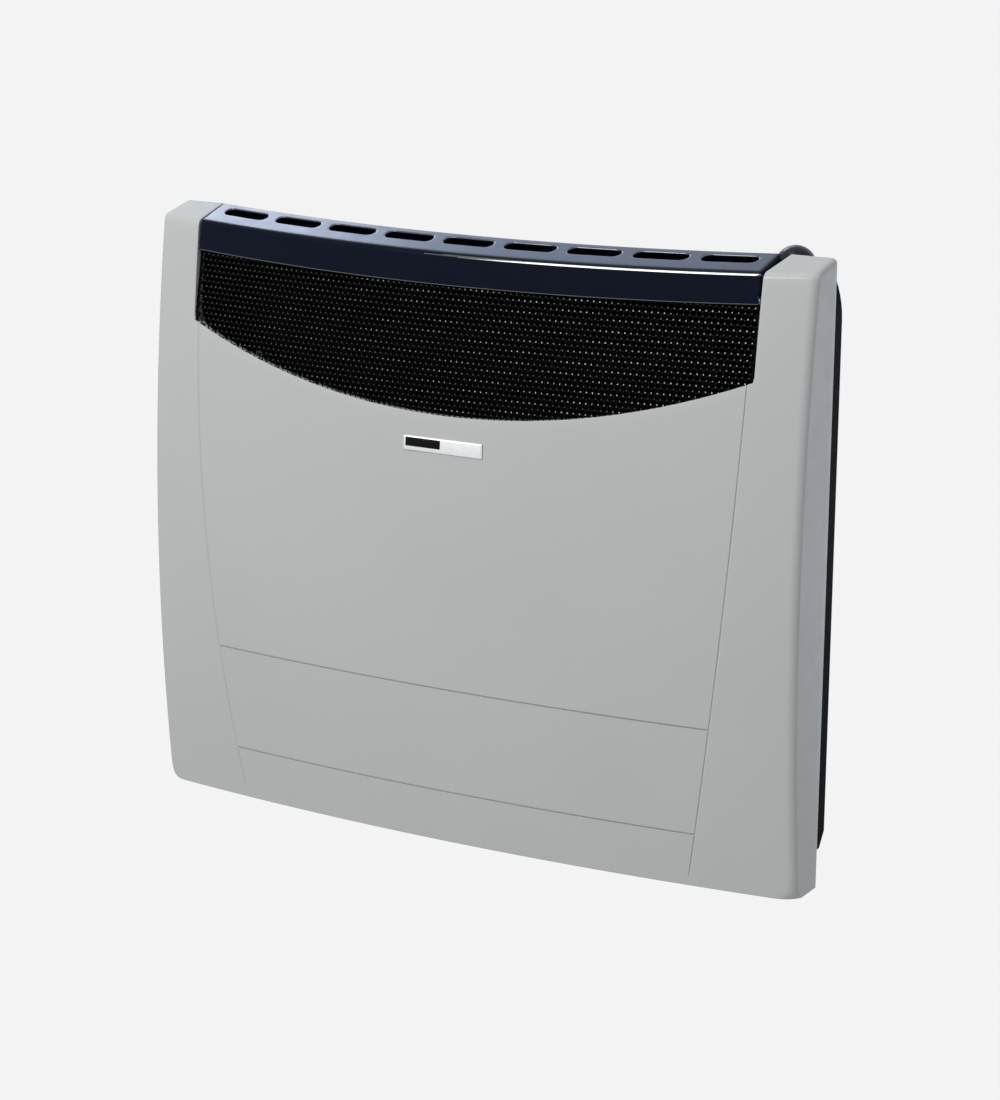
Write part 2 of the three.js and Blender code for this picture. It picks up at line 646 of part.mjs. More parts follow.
// the cover's section at x as [y, z]; the sheet's outer face first, then its inner face back
function coverSection(x) {
  const rearZ = COVER_REAR_HEIGHT + rise(x);
  const frontZ = COVER_FRONT_HEIGHT + rise(x);
  const rearY = coverRearY(x);
  const lipTop = frontY(x, frontZ - COVER_EDGE_RADIUS) + COVER_RECESS;
  const lipFootZ = COVER_LIP_FOOT + rise(x);
  const lipFoot = frontY(x, lipFootZ) + COVER_RECESS;
  const face = (inset) => {
    const radius = COVER_EDGE_RADIUS - inset;
    const arc = [0, 1, 2, 3].map((step) => {
      const angle = (step * Math.PI) / 6;
      return [lipTop + COVER_EDGE_RADIUS - radius * Math.sin(angle),
        frontZ - COVER_EDGE_RADIUS + radius * Math.cos(angle)];
    });
    return [
      [rearY - inset, COVER_REAR_HEIGHT - COVER_REAR_FLANGE],
      [rearY - inset, rearZ - 2],
      [rearY - Math.max(2, inset + 1), rearZ - inset],
      ...arc,
      [lipFoot + inset, lipFootZ],
    ];
  };
  return [face(0), face(COVER_SHEET).reverse()];
}

// the cover's ends splay with the opening
function coverHalf(y) {
  const splay = OPENING_FLARE * (y - frontY(OPENING_WIDTH / 2, GRILLE_LEAN_START));
  return OPENING_WIDTH / 2 - COVER_SIDE_GAP + splay * 0.3;
}

function buildCover() {
  const ringAt = (share, section) => section.map(([y, z]) => [share * coverHalf(y), y, z]);
  const shares = spread(-1, 1, COVER_STATIONS);
  const sheet = loft(
    shares.map((share) => ringAt(share, coverSection(share * coverHalf(-100)).flat())),
    ([, y, z]) => [y, z]);
  const endPlate = () => {
    const section = coverSection(coverHalf(-100));
    const face = section[0];
    const lip = face[face.length - 1];
    const back = face[0];
    const skirt = [[lip[0] + COVER_END_STRIP, lip[1]], [lip[0] + COVER_END_STRIP, back[1]]];
    const closed = [...face, ...skirt];
    const inside = (COVER_SHEET / coverHalf(-100));
    return loft([ringAt(1 - inside, closed), ringAt(1, closed)], ([, y, z]) => [y, z]);
  };
  const right = endPlate();
  const slots = spread(-1, 1, SLOT_COUNT - 1).map((share) => {
    const x = (share * SLOT_PITCH * (SLOT_COUNT - 1)) / 2;
    const y = frontY(x, COVER_FRONT_HEIGHT) + COVER_RECESS + SLOT_FROM_LIP;
    const turn = Math.atan2(frontY(x + 1, COVER_FRONT_HEIGHT) - frontY(x - 1, COVER_FRONT_HEIGHT), 2);
    const radius = SLOT_WIDTH / 2;
    const straight = SLOT_LENGTH / 2 - radius;
    const shape = new THREE.Shape();
    shape.absarc(straight, 0, radius, -Math.PI / 2, Math.PI / 2, false);
    shape.absarc(-straight, 0, radius, Math.PI / 2, Math.PI * 1.5, false);
    return new THREE.ExtrudeGeometry(shape, { depth: 80, bevelEnabled: false, curveSegments: 5 })
      .rotateZ(turn).translate(x, y, COVER_FRONT_HEIGHT - 20);
  });
  return cut(join(sheet, right, mirrored(right)), ...slots);
}

piece('vent_cover', buildCover(), NAVY_GLOSS);

// angle brackets on the pillar flanges that carry the cover's ends
const coverFootZ = COVER_REAR_HEIGHT - COVER_REAR_FLANGE;
function buildCoverBracket() {
  const nearY = coverRearY(OPENING_WIDTH / 2) - 6 - COVER_BRACKET_WIDTH;
  const farY = nearY + COVER_BRACKET_WIDTH;
  const armTop = coverFootZ - SEAT_GAP;
  const flangeX = (y) => {
    const half = OPENING_WIDTH / 2;
    return half + OPENING_FLARE * (y - frontY(half, GRILLE_LEAN_START)) - SEAT_GAP;
  };
  const leg = (top) => [[flangeX(nearY), nearY, top], [flangeX(farY), farY, top],
    [flangeX(farY) - COVER_SHEET, farY, top], [flangeX(nearY) - COVER_SHEET, nearY, top]];
  const roofZ = CASING_HEIGHT - OPENING_FLANGE + TOP_SLOPE * (nearY - CASING_REAR) + 6;
  const upright = loft([leg(armTop - COVER_SHEET), leg(roofZ)], ([x, y]) => [x, y]);
  const armEnd = flangeX(nearY) - COVER_BRACKET_ARM;
  const arm = boxBetween(armEnd, flangeX(nearY) - COVER_SHEET / 2, nearY, farY, armTop - COVER_SHEET, armTop);
  return join(upright, arm);
}
const rightCoverBracket = buildCoverBracket();
piece('cover_bracket_right', rightCoverBracket, GALVANISED);
piece('cover_bracket_left', mirrored(rightCoverBracket), GALVANISED);

// ---- grille ---------------------------------------------------------------------------------

function grilleFace(x, z) {
  const lean = Math.max(0, GRILLE_LEAN * (z - GRILLE_LEAN_START));
  return frontY(x, z) + CASING_SHEET + SEAT_GAP + 0.1 + lean;
}

function buildGrille() {
  const half = OPENING_WIDTH / 2 - GRILLE_SIDE_GAP;
  const rows = 5;
  const rings = spread(-half, half, 18).map((x) => {
    const foot = smile(x) - GRILLE_OVERLAP;
    const heights = spread(0, 1, rows).map((share) => foot + (GRILLE_TOP - foot) * share);
    const front = heights.map((z) => [x, grilleFace(x, z), z]);
    const back = heights.map((z) => [x, grilleFace(x, z) + GRILLE_SHEET, z]).reverse();
    return [...front, ...back];
  });
  const sides = spread(GRILLE_MARGIN - half, half - GRILLE_MARGIN, GRILLE_COLUMNS);
  const levels = spread(SMILE_LOW + GRILLE_MARGIN, GRILLE_TOP - GRILLE_MARGIN, GRILLE_ROWS);
  const openings = [];
  for (let column = 0; column < GRILLE_COLUMNS; column += 1) {
    const left = sides[column] + GRILLE_BAR / 2;
    const right = sides[column + 1] - GRILLE_BAR / 2;
    const edge = Math.max(smile(left), smile(right)) + GRILLE_MARGIN;
    for (let row = 0; row < GRILLE_ROWS; row += 1) {
      const foot = Math.max(levels[row] + GRILLE_BAR / 2, edge);
      const top = levels[row + 1] - GRILLE_BAR / 2;
      if (top - foot < GRILLE_LEAST_OPENING) continue;
      const middle = grilleFace((left + right) / 2, (foot + top) / 2);
      openings.push(boxBetween(left, right, middle - OPENING_FLANGE, middle + OPENING_FLANGE, foot, top));
    }
  }
  return cut(loft(rings, ([, y, z]) => [y, z]), ...openings);
}

piece('perforated_grille', buildGrille(), BLACK_SHEET);

// ---- badge ----------------------------------------------------------------------------------

// placed on the curved panel: local x along it, local y out of the panel, local z up
function onPanel(geometry, x, z) {
  const turn = Math.atan2(frontY(x + 1, z) - frontY(x - 1, z), 2);
  const lean = Math.atan2(frontY(x, z + 1) - frontY(x, z - 1), 2);
  return geometry.rotateX(-lean).rotateZ(turn).translate(x, frontY(x, z), z);
}

function buildBadge() {
  const half = BADGE_WIDTH / 2;
  const nearY = -SEAT_GAP - BADGE_THICKNESS;
  const bevel = BADGE_THICKNESS * 0.7;
  const plan = [[-half, -SEAT_GAP], [half, -SEAT_GAP], [half, nearY + bevel], [half - bevel, nearY],
    [-half + bevel, nearY], [-half, nearY + bevel]];
  const inlayX = -half + INLAY_FROM_END;
  const pocket = boxBetween(inlayX - SEAT_GAP, inlayX + INLAY_WIDTH + SEAT_GAP,
    nearY - 1, nearY + INLAY_THICKNESS, -INLAY_HEIGHT / 2 - SEAT_GAP, INLAY_HEIGHT / 2 + SEAT_GAP);
  return cut(plateXY(outline(plan), -BADGE_HEIGHT / 2, BADGE_HEIGHT / 2), pocket);
}

function buildInlay() {
  const inlayX = -BADGE_WIDTH / 2 + INLAY_FROM_END;
  const nearY = -SEAT_GAP - BADGE_THICKNESS;
  return boxBetween(inlayX, inlayX + INLAY_WIDTH, nearY - SEAT_GAP, nearY + INLAY_THICKNESS - SEAT_GAP,
    -INLAY_HEIGHT / 2, INLAY_HEIGHT / 2);
}

const badgeHeight = SMILE_LOW - BADGE_BELOW_EDGE;
piece('badge_plate', onPanel(buildBadge(), BADGE_CENTRE_X, badgeHeight), BRIGHT);
piece('badge_inlay', onPanel(buildInlay(), BADGE_CENTRE_X, badgeHeight), BLACK_PLASTIC);

// ---- rear chassis ---------------------------------------------------------------------------

function chassisOutline(inset) {
  const half = CHASSIS_HALF - inset;
  const radius = CHASSIS_SHOULDER_RADIUS - inset;
  const top = CHASSIS_TOP - inset;
  const crownZ = CHASSIS_TOP - 6;
  const crownAngle = Math.asin((crownZ - CHASSIS_SHOULDER) / radius);
  const foot = CHASSIS_FOOT + inset;
  const right = [[half - CHASSIS_FOOT_TAPER - 8, foot], [half - CHASSIS_FOOT_TAPER, foot + 8],
    [half, foot + CHASSIS_FOOT_TAPER_HEIGHT]];
  for (const angle of spread(0, crownAngle, 5)) {
    right.push([half - radius + radius * Math.cos(angle), CHASSIS_SHOULDER + radius * Math.sin(angle)]);
  }
  const shoulderX = right[right.length - 1][0];
  right.push([shoulderX - 5, top]);
  const left = right.map(([x, z]) => [-x, z]).reverse();
  return outline([...right, ...left]);
}

function keyhole(x) {
  const shape = new THREE.Shape();
  const opening = Math.asin(KEYHOLE_SLOT_RADIUS / KEYHOLE_RADIUS);
  shape.absarc(x, HANGING_HEIGHT - KEYHOLE_RISE, KEYHOLE_RADIUS, Math.PI / 2 + opening,
    Math.PI * 2.5 - opening, false);
  shape.absarc(x, HANGING_HEIGHT, KEYHOLE_SLOT_RADIUS, 0, Math.PI, false);
  return plateXZ(shape, -20, 5);
}

const NIPPLE_NOTCH = NIPPLE_HEX_RADIUS + 8;

function buildChassis() {
  const half = CHASSIS_HALF;
  const lip = boxBetween(half - CHASSIS_SHEET / 2, half + CHASSIS_LIP, -CHASSIS_DEPTH,
    -CHASSIS_DEPTH + CHASSIS_SHEET, CHASSIS_FOOT + CHASSIS_FOOT_TAPER_HEIGHT + 2, CHASSIS_SHOULDER);
  const tray = cut(
    plateXZ(chassisOutline(0), -CHASSIS_DEPTH, 0),
    plateXZ(chassisOutline(CHASSIS_SHEET), -CHASSIS_DEPTH - 5, -CHASSIS_SHEET),
  );
  const topLipEnd = CONTROL_X - KNOB_RADIUS - 12;
  const shoulderX = half - 12;
  const throughWall = [];
  for (const side of [-1, 1]) {
    throughWall.push(keyhole((side * KEYHOLE_SPACING) / 2));
    throughWall.push(rod(LOWER_HOLE_RADIUS, -20, 5, 'y', (side * KEYHOLE_SPACING) / 2, LOWER_HOLE_HEIGHT));
  }
  for (const z of [EXHAUST_Z, INTAKE_Z]) {
    throughWall.push(rod(COLLAR_RADIUS + COLLAR_CLEARANCE, -20, 5, 'y', 0, z, 24));
  }
  return cut(
    join(tray, lip, mirrored(lip)),
    boxBetween(-shoulderX, shoulderX, -CHASSIS_DEPTH - 5, -CHASSIS_TOP_LIP, CHASSIS_TOP - 10, CHASSIS_TOP + 5),
    boxBetween(topLipEnd, shoulderX, -CHASSIS_DEPTH - 5, -CHASSIS_SHEET, CHASSIS_TOP - 10, CHASSIS_TOP + 5),
    rod(NIPPLE_NOTCH, CHASSIS_FOOT - 5, CHASSIS_FOOT + 8, 'z', CONTROL_X, CONTROL_Y),
    ...throughWall,
  );
}

piece('rear_chassis', buildChassis(), BLACK_SHEET);

// closes the gap between the wall and the cover, and turns the warm air towards the room
function buildDeflector() {
  const top = coverFootZ - SEAT_GAP;
  const leftEnd = -(CHASSIS_HALF - 34);
  const rightEnd = CONTROL_X - KNOB_RADIUS - 12;
  const wallY = ON_CHASSIS;
  const front = spread(leftEnd, rightEnd, 12).map((x) => [x, coverRearY(x) - COVER_SHEET]);
  const plan = outline([...front, [rightEnd, wallY], [leftEnd, wallY]]);
  const flange = boxBetween(leftEnd, rightEnd, wallY - DEFLECTOR_SHEET, wallY,
    top - DEFLECTOR_FLANGE, top - DEFLECTOR_SHEET / 2);
  return join(plateXY(plan, top - DEFLECTOR_SHEET, top), flange);
}

piece('top_deflector', buildDeflector(), BLACK_SHEET);

// brackets under the chassis lips that the casing's foot is screwed to
function buildLowerBracket() {
  const footZ = CASING_SHEET + SEAT_GAP;
  const nearY = footScrewY - 9;
  const wallSide = -CHASSIS_DEPTH - SEAT_GAP;
  const x0 = CHASSIS_HALF - 12;
  const x1 = HALF_WIDTH - CASING_SHEET - SEAT_GAP - 0.4;
  const foot = boxBetween(x0, x1, nearY, wallSide, footZ, footZ + 1.5);
  const upright = boxBetween(x0, x1 - 4, wallSide - 1.5, wallSide, footZ, RETURN_START - 6);
  return cut(join(foot, upright), rod(FOOT_HOLE, -5, 10, 'z', footScrewX, footScrewY, 8));
}
const rightLowerBracket = buildLowerBracket();
piece('lower_bracket_right', rightLowerBracket, GALVANISED);
piece('lower_bracket_left', mirrored(rightLowerBracket), GALVANISED);


// self-tapping screws through the casing's foot into those brackets
for (const [side, name] of [[-1, 'left'], [1, 'right']]) {
  const screw = turned([
    [0, -SEAT_GAP - BOLT_HEAD_HEIGHT], [BOLT_HEAD_RADIUS * 0.8, -SEAT_GAP - BOLT_HEAD_HEIGHT],
    [BOLT_HEAD_RADIUS, -SEAT_GAP - BOLT_HEAD_HEIGHT * 0.6], [BOLT_HEAD_RADIUS, -SEAT_GAP],
    [FOOT_SCREW_RADIUS, -SEAT_GAP], [FOOT_SCREW_RADIUS, 8], [0, 9.5],
  ], 'z', side * footScrewX, footScrewY, 0, 12);
  piece(`casing_screw_${name}`, screw, STEEL);
}

// ---- rails and combustion chamber -----------------------------------------------------------

// a hat section in two axes: flanges on the base line, crown at the full height
function hatOutline(half, crownHalf, base, crown, sheet) {
  const toCrown = Math.sign(crown - base) * sheet;
  return [
    [-half, base], [-crownHalf + sheet, base], [-crownHalf + sheet, crown - toCrown],
    [crownHalf - sheet, crown - toCrown], [crownHalf - sheet, base], [half, base],
    [half, base + toCrown], [crownHalf, base + toCrown], [crownHalf, crown], [-crownHalf, crown],
    [-crownHalf, base + toCrown], [-half, base + toCrown],
  ];
}

for (const [name, z] of [['upper_rail', UPPER_RAIL_Z], ['lower_rail', LOWER_RAIL_Z]]) {
  const section = hatOutline(RAIL_CROWN / 2 + RAIL_FLANGE, RAIL_CROWN / 2, ON_CHASSIS, RAIL_FRONT, RAIL_SHEET)
    .map(([height, y]) => [y, z + height]);
  piece(name, sectionYZ(section, -RAIL_LENGTH / 2, RAIL_LENGTH / 2), GALVANISED);
}

function chamberOutline(grow) {
  return roundedRect(-CHAMBER_HALF - grow, CHAMBER_HALF + grow, CHAMBER_FOOT - grow, CHAMBER_TOP + grow,
    CHAMBER_RADIUS + grow);
}

function boltHoles(y0, y1) {
  const x = CHAMBER_HALF + CHAMBER_FLANGE / 2;
  return [-x, x].flatMap((bx) => BOLT_HEIGHTS.map((z) => rod(BOLT_RADIUS + SEAT_GAP, y0, y1, 'y', bx, z, 10)));
}

const windowFoot = BURNER_Z - BURNER_WINDOW_HEIGHT / 2;
const windowTop = BURNER_Z + BURNER_WINDOW_HEIGHT / 2;
const windowNear = BURNER_Y - BURNER_WINDOW_DEPTH / 2;
const windowFar = BURNER_Y + BURNER_WINDOW_DEPTH / 2;

function buildRearTray() {
  const flange = plateXZ(chamberOutline(CHAMBER_FLANGE), REAR_FLANGE_FRONT, REAR_FLANGE_FRONT + CHAMBER_SHEET);
  const tray = plateXZ(chamberOutline(0), REAR_FLANGE_FRONT, CHAMBER_BACK);
  const space = plateXZ(chamberOutline(-CHAMBER_SHEET), REAR_FLANGE_FRONT - 5, CHAMBER_BACK - CHAMBER_SHEET);
  const ducts = [EXHAUST_Z, INTAKE_Z].map((z) => (
    rod(COLLAR_RADIUS - COLLAR_SHEET, CHAMBER_BACK - 10, CHAMBER_BACK + 10, 'y', 0, z, 24)));
  const window = boxBetween(CHAMBER_HALF - 5, CHAMBER_HALF + 5, windowNear, windowFar, windowFoot, windowTop);
  return cut(join(flange, tray), space, ...ducts, window,
    ...boltHoles(REAR_FLANGE_FRONT - 5, REAR_FLANGE_FRONT + 5));
}

function buildFrontTray() {
  const inset = -CHAMBER_FRONT_INSET;
  const flange = plateXZ(chamberOutline(CHAMBER_FLANGE), FRONT_FLANGE_REAR - CHAMBER_SHEET, FRONT_FLANGE_REAR);
  const tray = plateXZ(chamberOutline(inset), CHAMBER_FRONT, FRONT_FLANGE_REAR);
  const space = plateXZ(chamberOutline(inset - CHAMBER_SHEET), CHAMBER_FRONT + CHAMBER_SHEET,
    FRONT_FLANGE_REAR + 5);
  const sight = rod(GLASS_RADIUS - 4, CHAMBER_FRONT - 5, CHAMBER_FRONT + 5, 'y', GLASS_X, GLASS_Z, 24);
  return cut(join(flange, tray), space, sight, ...boltHoles(FRONT_FLANGE_REAR - 5, FRONT_FLANGE_REAR + 5));
}

function buildChamberGasket() {
  const band = cut(
    plateXZ(chamberOutline(CHAMBER_FLANGE), GASKET_REAR - CHAMBER_GASKET, GASKET_REAR),
    plateXZ(chamberOutline(-CHAMBER_SHEET), GASKET_REAR - 5, GASKET_REAR + 5));
  return cut(band, ...boltHoles(GASKET_REAR - 5, GASKET_REAR + 5));
}

piece('chamber_rear_tray', buildRearTray(), CHAMBER_ENAMEL);
piece('chamber_gasket', buildChamberGasket(), FIBRE);
piece('chamber_front_tray', buildFrontTray(), CHAMBER_ENAMEL);

for (const [sideName, side] of [['left', -1], ['right', 1]]) {
  BOLT_HEIGHTS.forEach((z, level) => {
    const headRear = FRONT_FLANGE_REAR - CHAMBER_SHEET - SEAT_GAP;
    const length = headRear - (REAR_FLANGE_FRONT + CHAMBER_SHEET + 4);
    const bolt = turned([
      [0, -BOLT_HEAD_HEIGHT], [BOLT_HEAD_RADIUS, -BOLT_HEAD_HEIGHT], [BOLT_HEAD_RADIUS, 0],
      [BOLT_RADIUS, 0], [BOLT_RADIUS, -length], [0, -length],
    ], 'y', side * (CHAMBER_HALF + CHAMBER_FLANGE / 2), headRear, z, 8);
    piece(`chamber_bolt_${level === 0 ? 'lower' : 'upper'}_${sideName}`, bolt, STEEL);
  });
}

// a plate that spreads the hot gas before it reaches the flue
function buildBaffle() {
  const rearY = CHAMBER_BACK - CHAMBER_SHEET - SEAT_GAP;
  const half = BAFFLE_WIDTH / 2;
  const section = hatOutline(half + 12, half, rearY, rearY - BAFFLE_STANDOFF, CHAMBER_SHEET);
  return plateXY(outline(section), EXHAUST_Z - BAFFLE_HEIGHT / 2, EXHAUST_Z + BAFFLE_HEIGHT / 2);
}

piece('flue_baffle', buildBaffle(), CHAMBER_ENAMEL);

// ---- flue and air collars -------------------------------------------------------------------

const collarGasketRear = CHAMBER_BACK + SEAT_GAP + COLLAR_GASKET;
for (const [name, z] of [['exhaust', EXHAUST_Z], ['intake', INTAKE_Z]]) {
  const flangeFront = collarGasketRear + SEAT_GAP;
  const inner = COLLAR_RADIUS - COLLAR_SHEET;
  const outer = COLLAR_RADIUS + COLLAR_FLANGE;
  const collar = turned([
    [inner, flangeFront], [outer, flangeFront], [outer, flangeFront + COLLAR_SHEET],
    [COLLAR_RADIUS, flangeFront + COLLAR_SHEET], [COLLAR_RADIUS, 0], [inner, 0], [inner, flangeFront],
  ], 'y', 0, 0, z, 24);
  piece(`${name}_collar`, collar, ALUMINIUM);
  const gasket = turned([
    [inner, 0], [outer, 0], [outer, COLLAR_GASKET], [inner, COLLAR_GASKET], [inner, 0],
  ], 'y', 0, CHAMBER_BACK + SEAT_GAP, z, 24);
  piece(`${name}_gasket`, gasket, FIBRE);
}

// ---- sight glass ----------------------------------------------------------------------------

const glassRear = CHAMBER_FRONT - SEAT_GAP;
piece('sight_glass', rod(GLASS_RADIUS, glassRear - GLASS_THICKNESS, glassRear, 'y', GLASS_X, GLASS_Z, 24), GLASS);

function buildGlassFrame() {
  const front = glassRear - GLASS_THICKNESS - SEAT_GAP;
  const hug = GLASS_RADIUS + SEAT_GAP;
  const rim = hug + GLASS_FRAME_RIM;
  return turned([
    [GLASS_RADIUS - 4, front - GLASS_FRAME_SHEET], [hug + GLASS_FRAME_SHEET, front - GLASS_FRAME_SHEET],
    [hug + GLASS_FRAME_SHEET, glassRear - GLASS_FRAME_SHEET], [rim, glassRear - GLASS_FRAME_SHEET],
    [rim, glassRear], [hug, glassRear], [hug, front], [GLASS_RADIUS - 4, front],
    [GLASS_RADIUS - 4, front - GLASS_FRAME_SHEET],
  ], 'y', GLASS_X, 0, GLASS_Z, 24);
}

piece('sight_glass_frame', buildGlassFrame(), GALVANISED);

// ---- burner ---------------------------------------------------------------------------------

const burnerLeft = -BURNER_LENGTH / 2;
const burnerRight = BURNER_LENGTH / 2;
const mouthX = burnerRight + VENTURI_LENGTH;

function buildBurner() {
  const throatX = burnerRight + VENTURI_LENGTH * 0.45;
  const body = turned([
    [0, burnerLeft - END_PEG_LENGTH], [END_PEG_RADIUS, burnerLeft - END_PEG_LENGTH],
    [END_PEG_RADIUS, burnerLeft], [BURNER_RADIUS, burnerLeft], [BURNER_RADIUS, burnerRight],
    [THROAT_RADIUS, throatX], [MOUTH_RADIUS, mouthX], [MOUTH_RADIUS - BURNER_WALL, mouthX],
    [THROAT_RADIUS - BURNER_WALL, throatX], [BURNER_RADIUS - BURNER_WALL, burnerRight - 1],
    [BURNER_RADIUS - BURNER_WALL, burnerLeft + 2], [0, burnerLeft + 2],
  ], 'x', 0, BURNER_Y, BURNER_Z, 16);
  const ports = spread(burnerLeft + 20, burnerRight - 20, BURNER_PORTS - 1).map((x) => (
    boxBetween(x - BURNER_PORT_WIDTH / 2, x + BURNER_PORT_WIDTH / 2, BURNER_Y - 7, BURNER_Y + 7,
      BURNER_Z + BURNER_RADIUS - 5, BURNER_Z + BURNER_RADIUS + 2)));
  return cut(body, ...ports);
}

piece('burner_tube', buildBurner(), ALUMINIUM);

// a bracket off the chamber's rear wall with an eye round the burner
function buildBurnerSupport(x, eye) {
  const rearY = CHAMBER_BACK - CHAMBER_SHEET - SEAT_GAP;
  const reach = BURNER_RADIUS + 5;
  const web = boxBetween(x, x + BURNER_PLATE, BURNER_Y - reach, rearY, BURNER_Z - reach, BURNER_Z + reach);
  const foot = boxBetween(x - 12, x + BURNER_PLATE / 2, rearY - BURNER_PLATE, rearY,
    BURNER_Z - reach, BURNER_Z + reach);
  return cut(join(web, foot), rod(eye + SEAT_GAP, x - 5, x + 10, 'x', BURNER_Y, BURNER_Z));
}

piece('burner_support_left', buildBurnerSupport(burnerLeft - END_PEG_LENGTH * 0.6, END_PEG_RADIUS), GALVANISED);
piece('burner_support_right', buildBurnerSupport(burnerRight - 12, BURNER_RADIUS), GALVANISED);

// where the small pipes and leads pass through the burner plate: [y, z, radius]
const pilotPass = [windowNear + 4.5, windowFoot + 7, PILOT_PIPE_RADIUS];
const leadPass = [windowNear + 13, windowFoot + 7, LEAD_RADIUS];
const wirePass = [windowNear + 4.5, windowFoot + 16, WIRE_RADIUS];

function burnerPlateBox(x0, x1) {
  return boxBetween(x0, x1, windowNear - BURNER_PLATE_RIM, windowFar + BURNER_PLATE_RIM,
    windowFoot - BURNER_PLATE_RIM, windowTop + BURNER_PLATE_RIM);
}

const gasketX = CHAMBER_HALF + SEAT_GAP;
piece('burner_gasket', cut(
  burnerPlateBox(gasketX, gasketX + CHAMBER_GASKET),
  boxBetween(gasketX - 5, gasketX + 5, windowNear, windowFar, windowFoot, windowTop),
), FIBRE);
piece('burner_plate', cut(
  burnerPlateBox(PLATE_INNER, PLATE_OUTER),
  rod(HOLDER_RADIUS + SEAT_GAP, PLATE_INNER - 5, PLATE_OUTER + 5, 'x', BURNER_Y, BURNER_Z),
  ...[pilotPass, leadPass, wirePass].map(([y, z, radius]) => (
    rod(radius + PASS_GAP, PLATE_INNER - 5, PLATE_OUTER + 5, 'x', y, z, 12))),
), GALVANISED);

const jetX = mouthX + JET_GAP;
const holderX = jetX + JET_LENGTH + SEAT_GAP;
const holderEnd = holderX + HOLDER_LENGTH;
piece('gas_jet', turned([
  [0.8, 0], [2, 0], [4.5, JET_LENGTH * 0.6], [4.5, JET_LENGTH], [0.8, JET_LENGTH], [0.8, 0],
], 'x', jetX, BURNER_Y, BURNER_Z, 12), BRASS);
const collarStart = PLATE_OUTER + SEAT_GAP - holderX;
piece('jet_holder', turned([
  [1.5, 0], [HOLDER_RADIUS, 0], [HOLDER_RADIUS, collarStart], [HOLDER_RADIUS + 3, collarStart],
  [HOLDER_RADIUS + 3, collarStart + 3], [HOLDER_RADIUS, collarStart + 3], [HOLDER_RADIUS, HOLDER_LENGTH],
  [1.5, HOLDER_LENGTH], [1.5, 0],
], 'x', holderX, BURNER_Y, BURNER_Z, 12), BRASS);

// ---- pilot group ----------------------------------------------------------------------------

const pilotY = BURNER_Y - PILOT_Y_FROM_BURNER;
const bracketTop = BURNER_Z - BURNER_RADIUS - SEAT_GAP;
const bracketFoot = bracketTop - PILOT_BRACKET;
const pilotFoot = bracketFoot - 9;
const pilotStems = [
  ['thermocouple', PILOT_X - PILOT_PITCH, 2.2, 46, COPPER],
  ['pilot_burner', PILOT_X, 3.6, 34, BRASS],
  ['ignition_electrode', PILOT_X + PILOT_PITCH, 2.6, 40, CERAMIC],
];

piece('pilot_bracket', cut(
  boxBetween(PILOT_X - PILOT_PITCH - 7, PILOT_X + PILOT_PITCH + 7, pilotY - 7, BURNER_Y + 6,
    bracketFoot, bracketTop),
  ...pilotStems.map(([, x, radius]) => rod(radius + SEAT_GAP, bracketFoot - 5, bracketTop + 5, 'z', x, pilotY, 12)),
), GALVANISED);
for (const [name, x, radius, height, look] of pilotStems) {
  const shoulder = bracketTop + SEAT_GAP - pilotFoot;
  piece(name, turned([
    [0, 0], [radius, 0], [radius, shoulder], [radius + 1.6, shoulder], [radius + 1.6, shoulder + 3],
    [radius, shoulder + 3], [radius, height - 10], [radius * 0.5, height - 6], [radius * 0.5, height],
    [0, height],
  ], 'z', x, pilotY, pilotFoot, 12), look);
}

// ---- gas valve and control line -------------------------------------------------------------

const valveTop = VALVE_FOOT + VALVE_HEIGHT;
const bonnetTop = valveTop + BONNET_HEIGHT;
const valveLeft = CONTROL_X - VALVE_WIDTH / 2;
const valveFront = CONTROL_Y - VALVE_DEPTH / 2;
const valveRear = CONTROL_Y + VALVE_DEPTH / 2;
const spindleFoot = bonnetTop - 12;
const spindleTop = spindleFoot + SPINDLE_LENGTH;
const couplerTop = spindleTop + PRESS_TRAVEL + 5;
const couplerFoot = couplerTop - COUPLER_LENGTH;

piece('gas_valve', cut(
  join(
    plateXY(roundedRect(valveLeft, valveLeft + VALVE_WIDTH, valveFront, valveRear, 5), VALVE_FOOT, valveTop),
    rod(BONNET_RADIUS, valveTop - 2, bonnetTop, 'z', CONTROL_X, CONTROL_Y, 20),
  ),
  rod(ROD_RADIUS + RUNNING_GAP, spindleFoot - SEAT_GAP, bonnetTop + 5, 'z', CONTROL_X, CONTROL_Y, 20),
), ALUMINIUM);
piece('valve_spindle', rod(ROD_RADIUS, spindleFoot, spindleTop, 'z', CONTROL_X, CONTROL_Y, 16), BRASS);
piece('valve_bracket', plateXY(
  outline(hatOutline(BONNET_RADIUS + 16, BONNET_RADIUS + 2, ON_CHASSIS, valveRear + SEAT_GAP, 1.5)
    .map(([x, y]) => [CONTROL_X + x, y])),
  VALVE_FOOT + 20, valveTop - 20), GALVANISED);

const socketTop = KNOB_FOOT + KNOB_SOCKET;
const rodTop = socketTop - SEAT_GAP;
piece('extension_rod', turned([
  [ROD_RADIUS + RUNNING_GAP, couplerFoot], [COUPLER_RADIUS, couplerFoot], [COUPLER_RADIUS, couplerTop],
  [ROD_RADIUS, couplerTop], [ROD_RADIUS, rodTop], [0, rodTop],
  [0, couplerTop - 4], [ROD_RADIUS + RUNNING_GAP, couplerTop - 4], [ROD_RADIUS + RUNNING_GAP, couplerFoot],
], 'z', CONTROL_X, CONTROL_Y, 0, 20), STEEL);

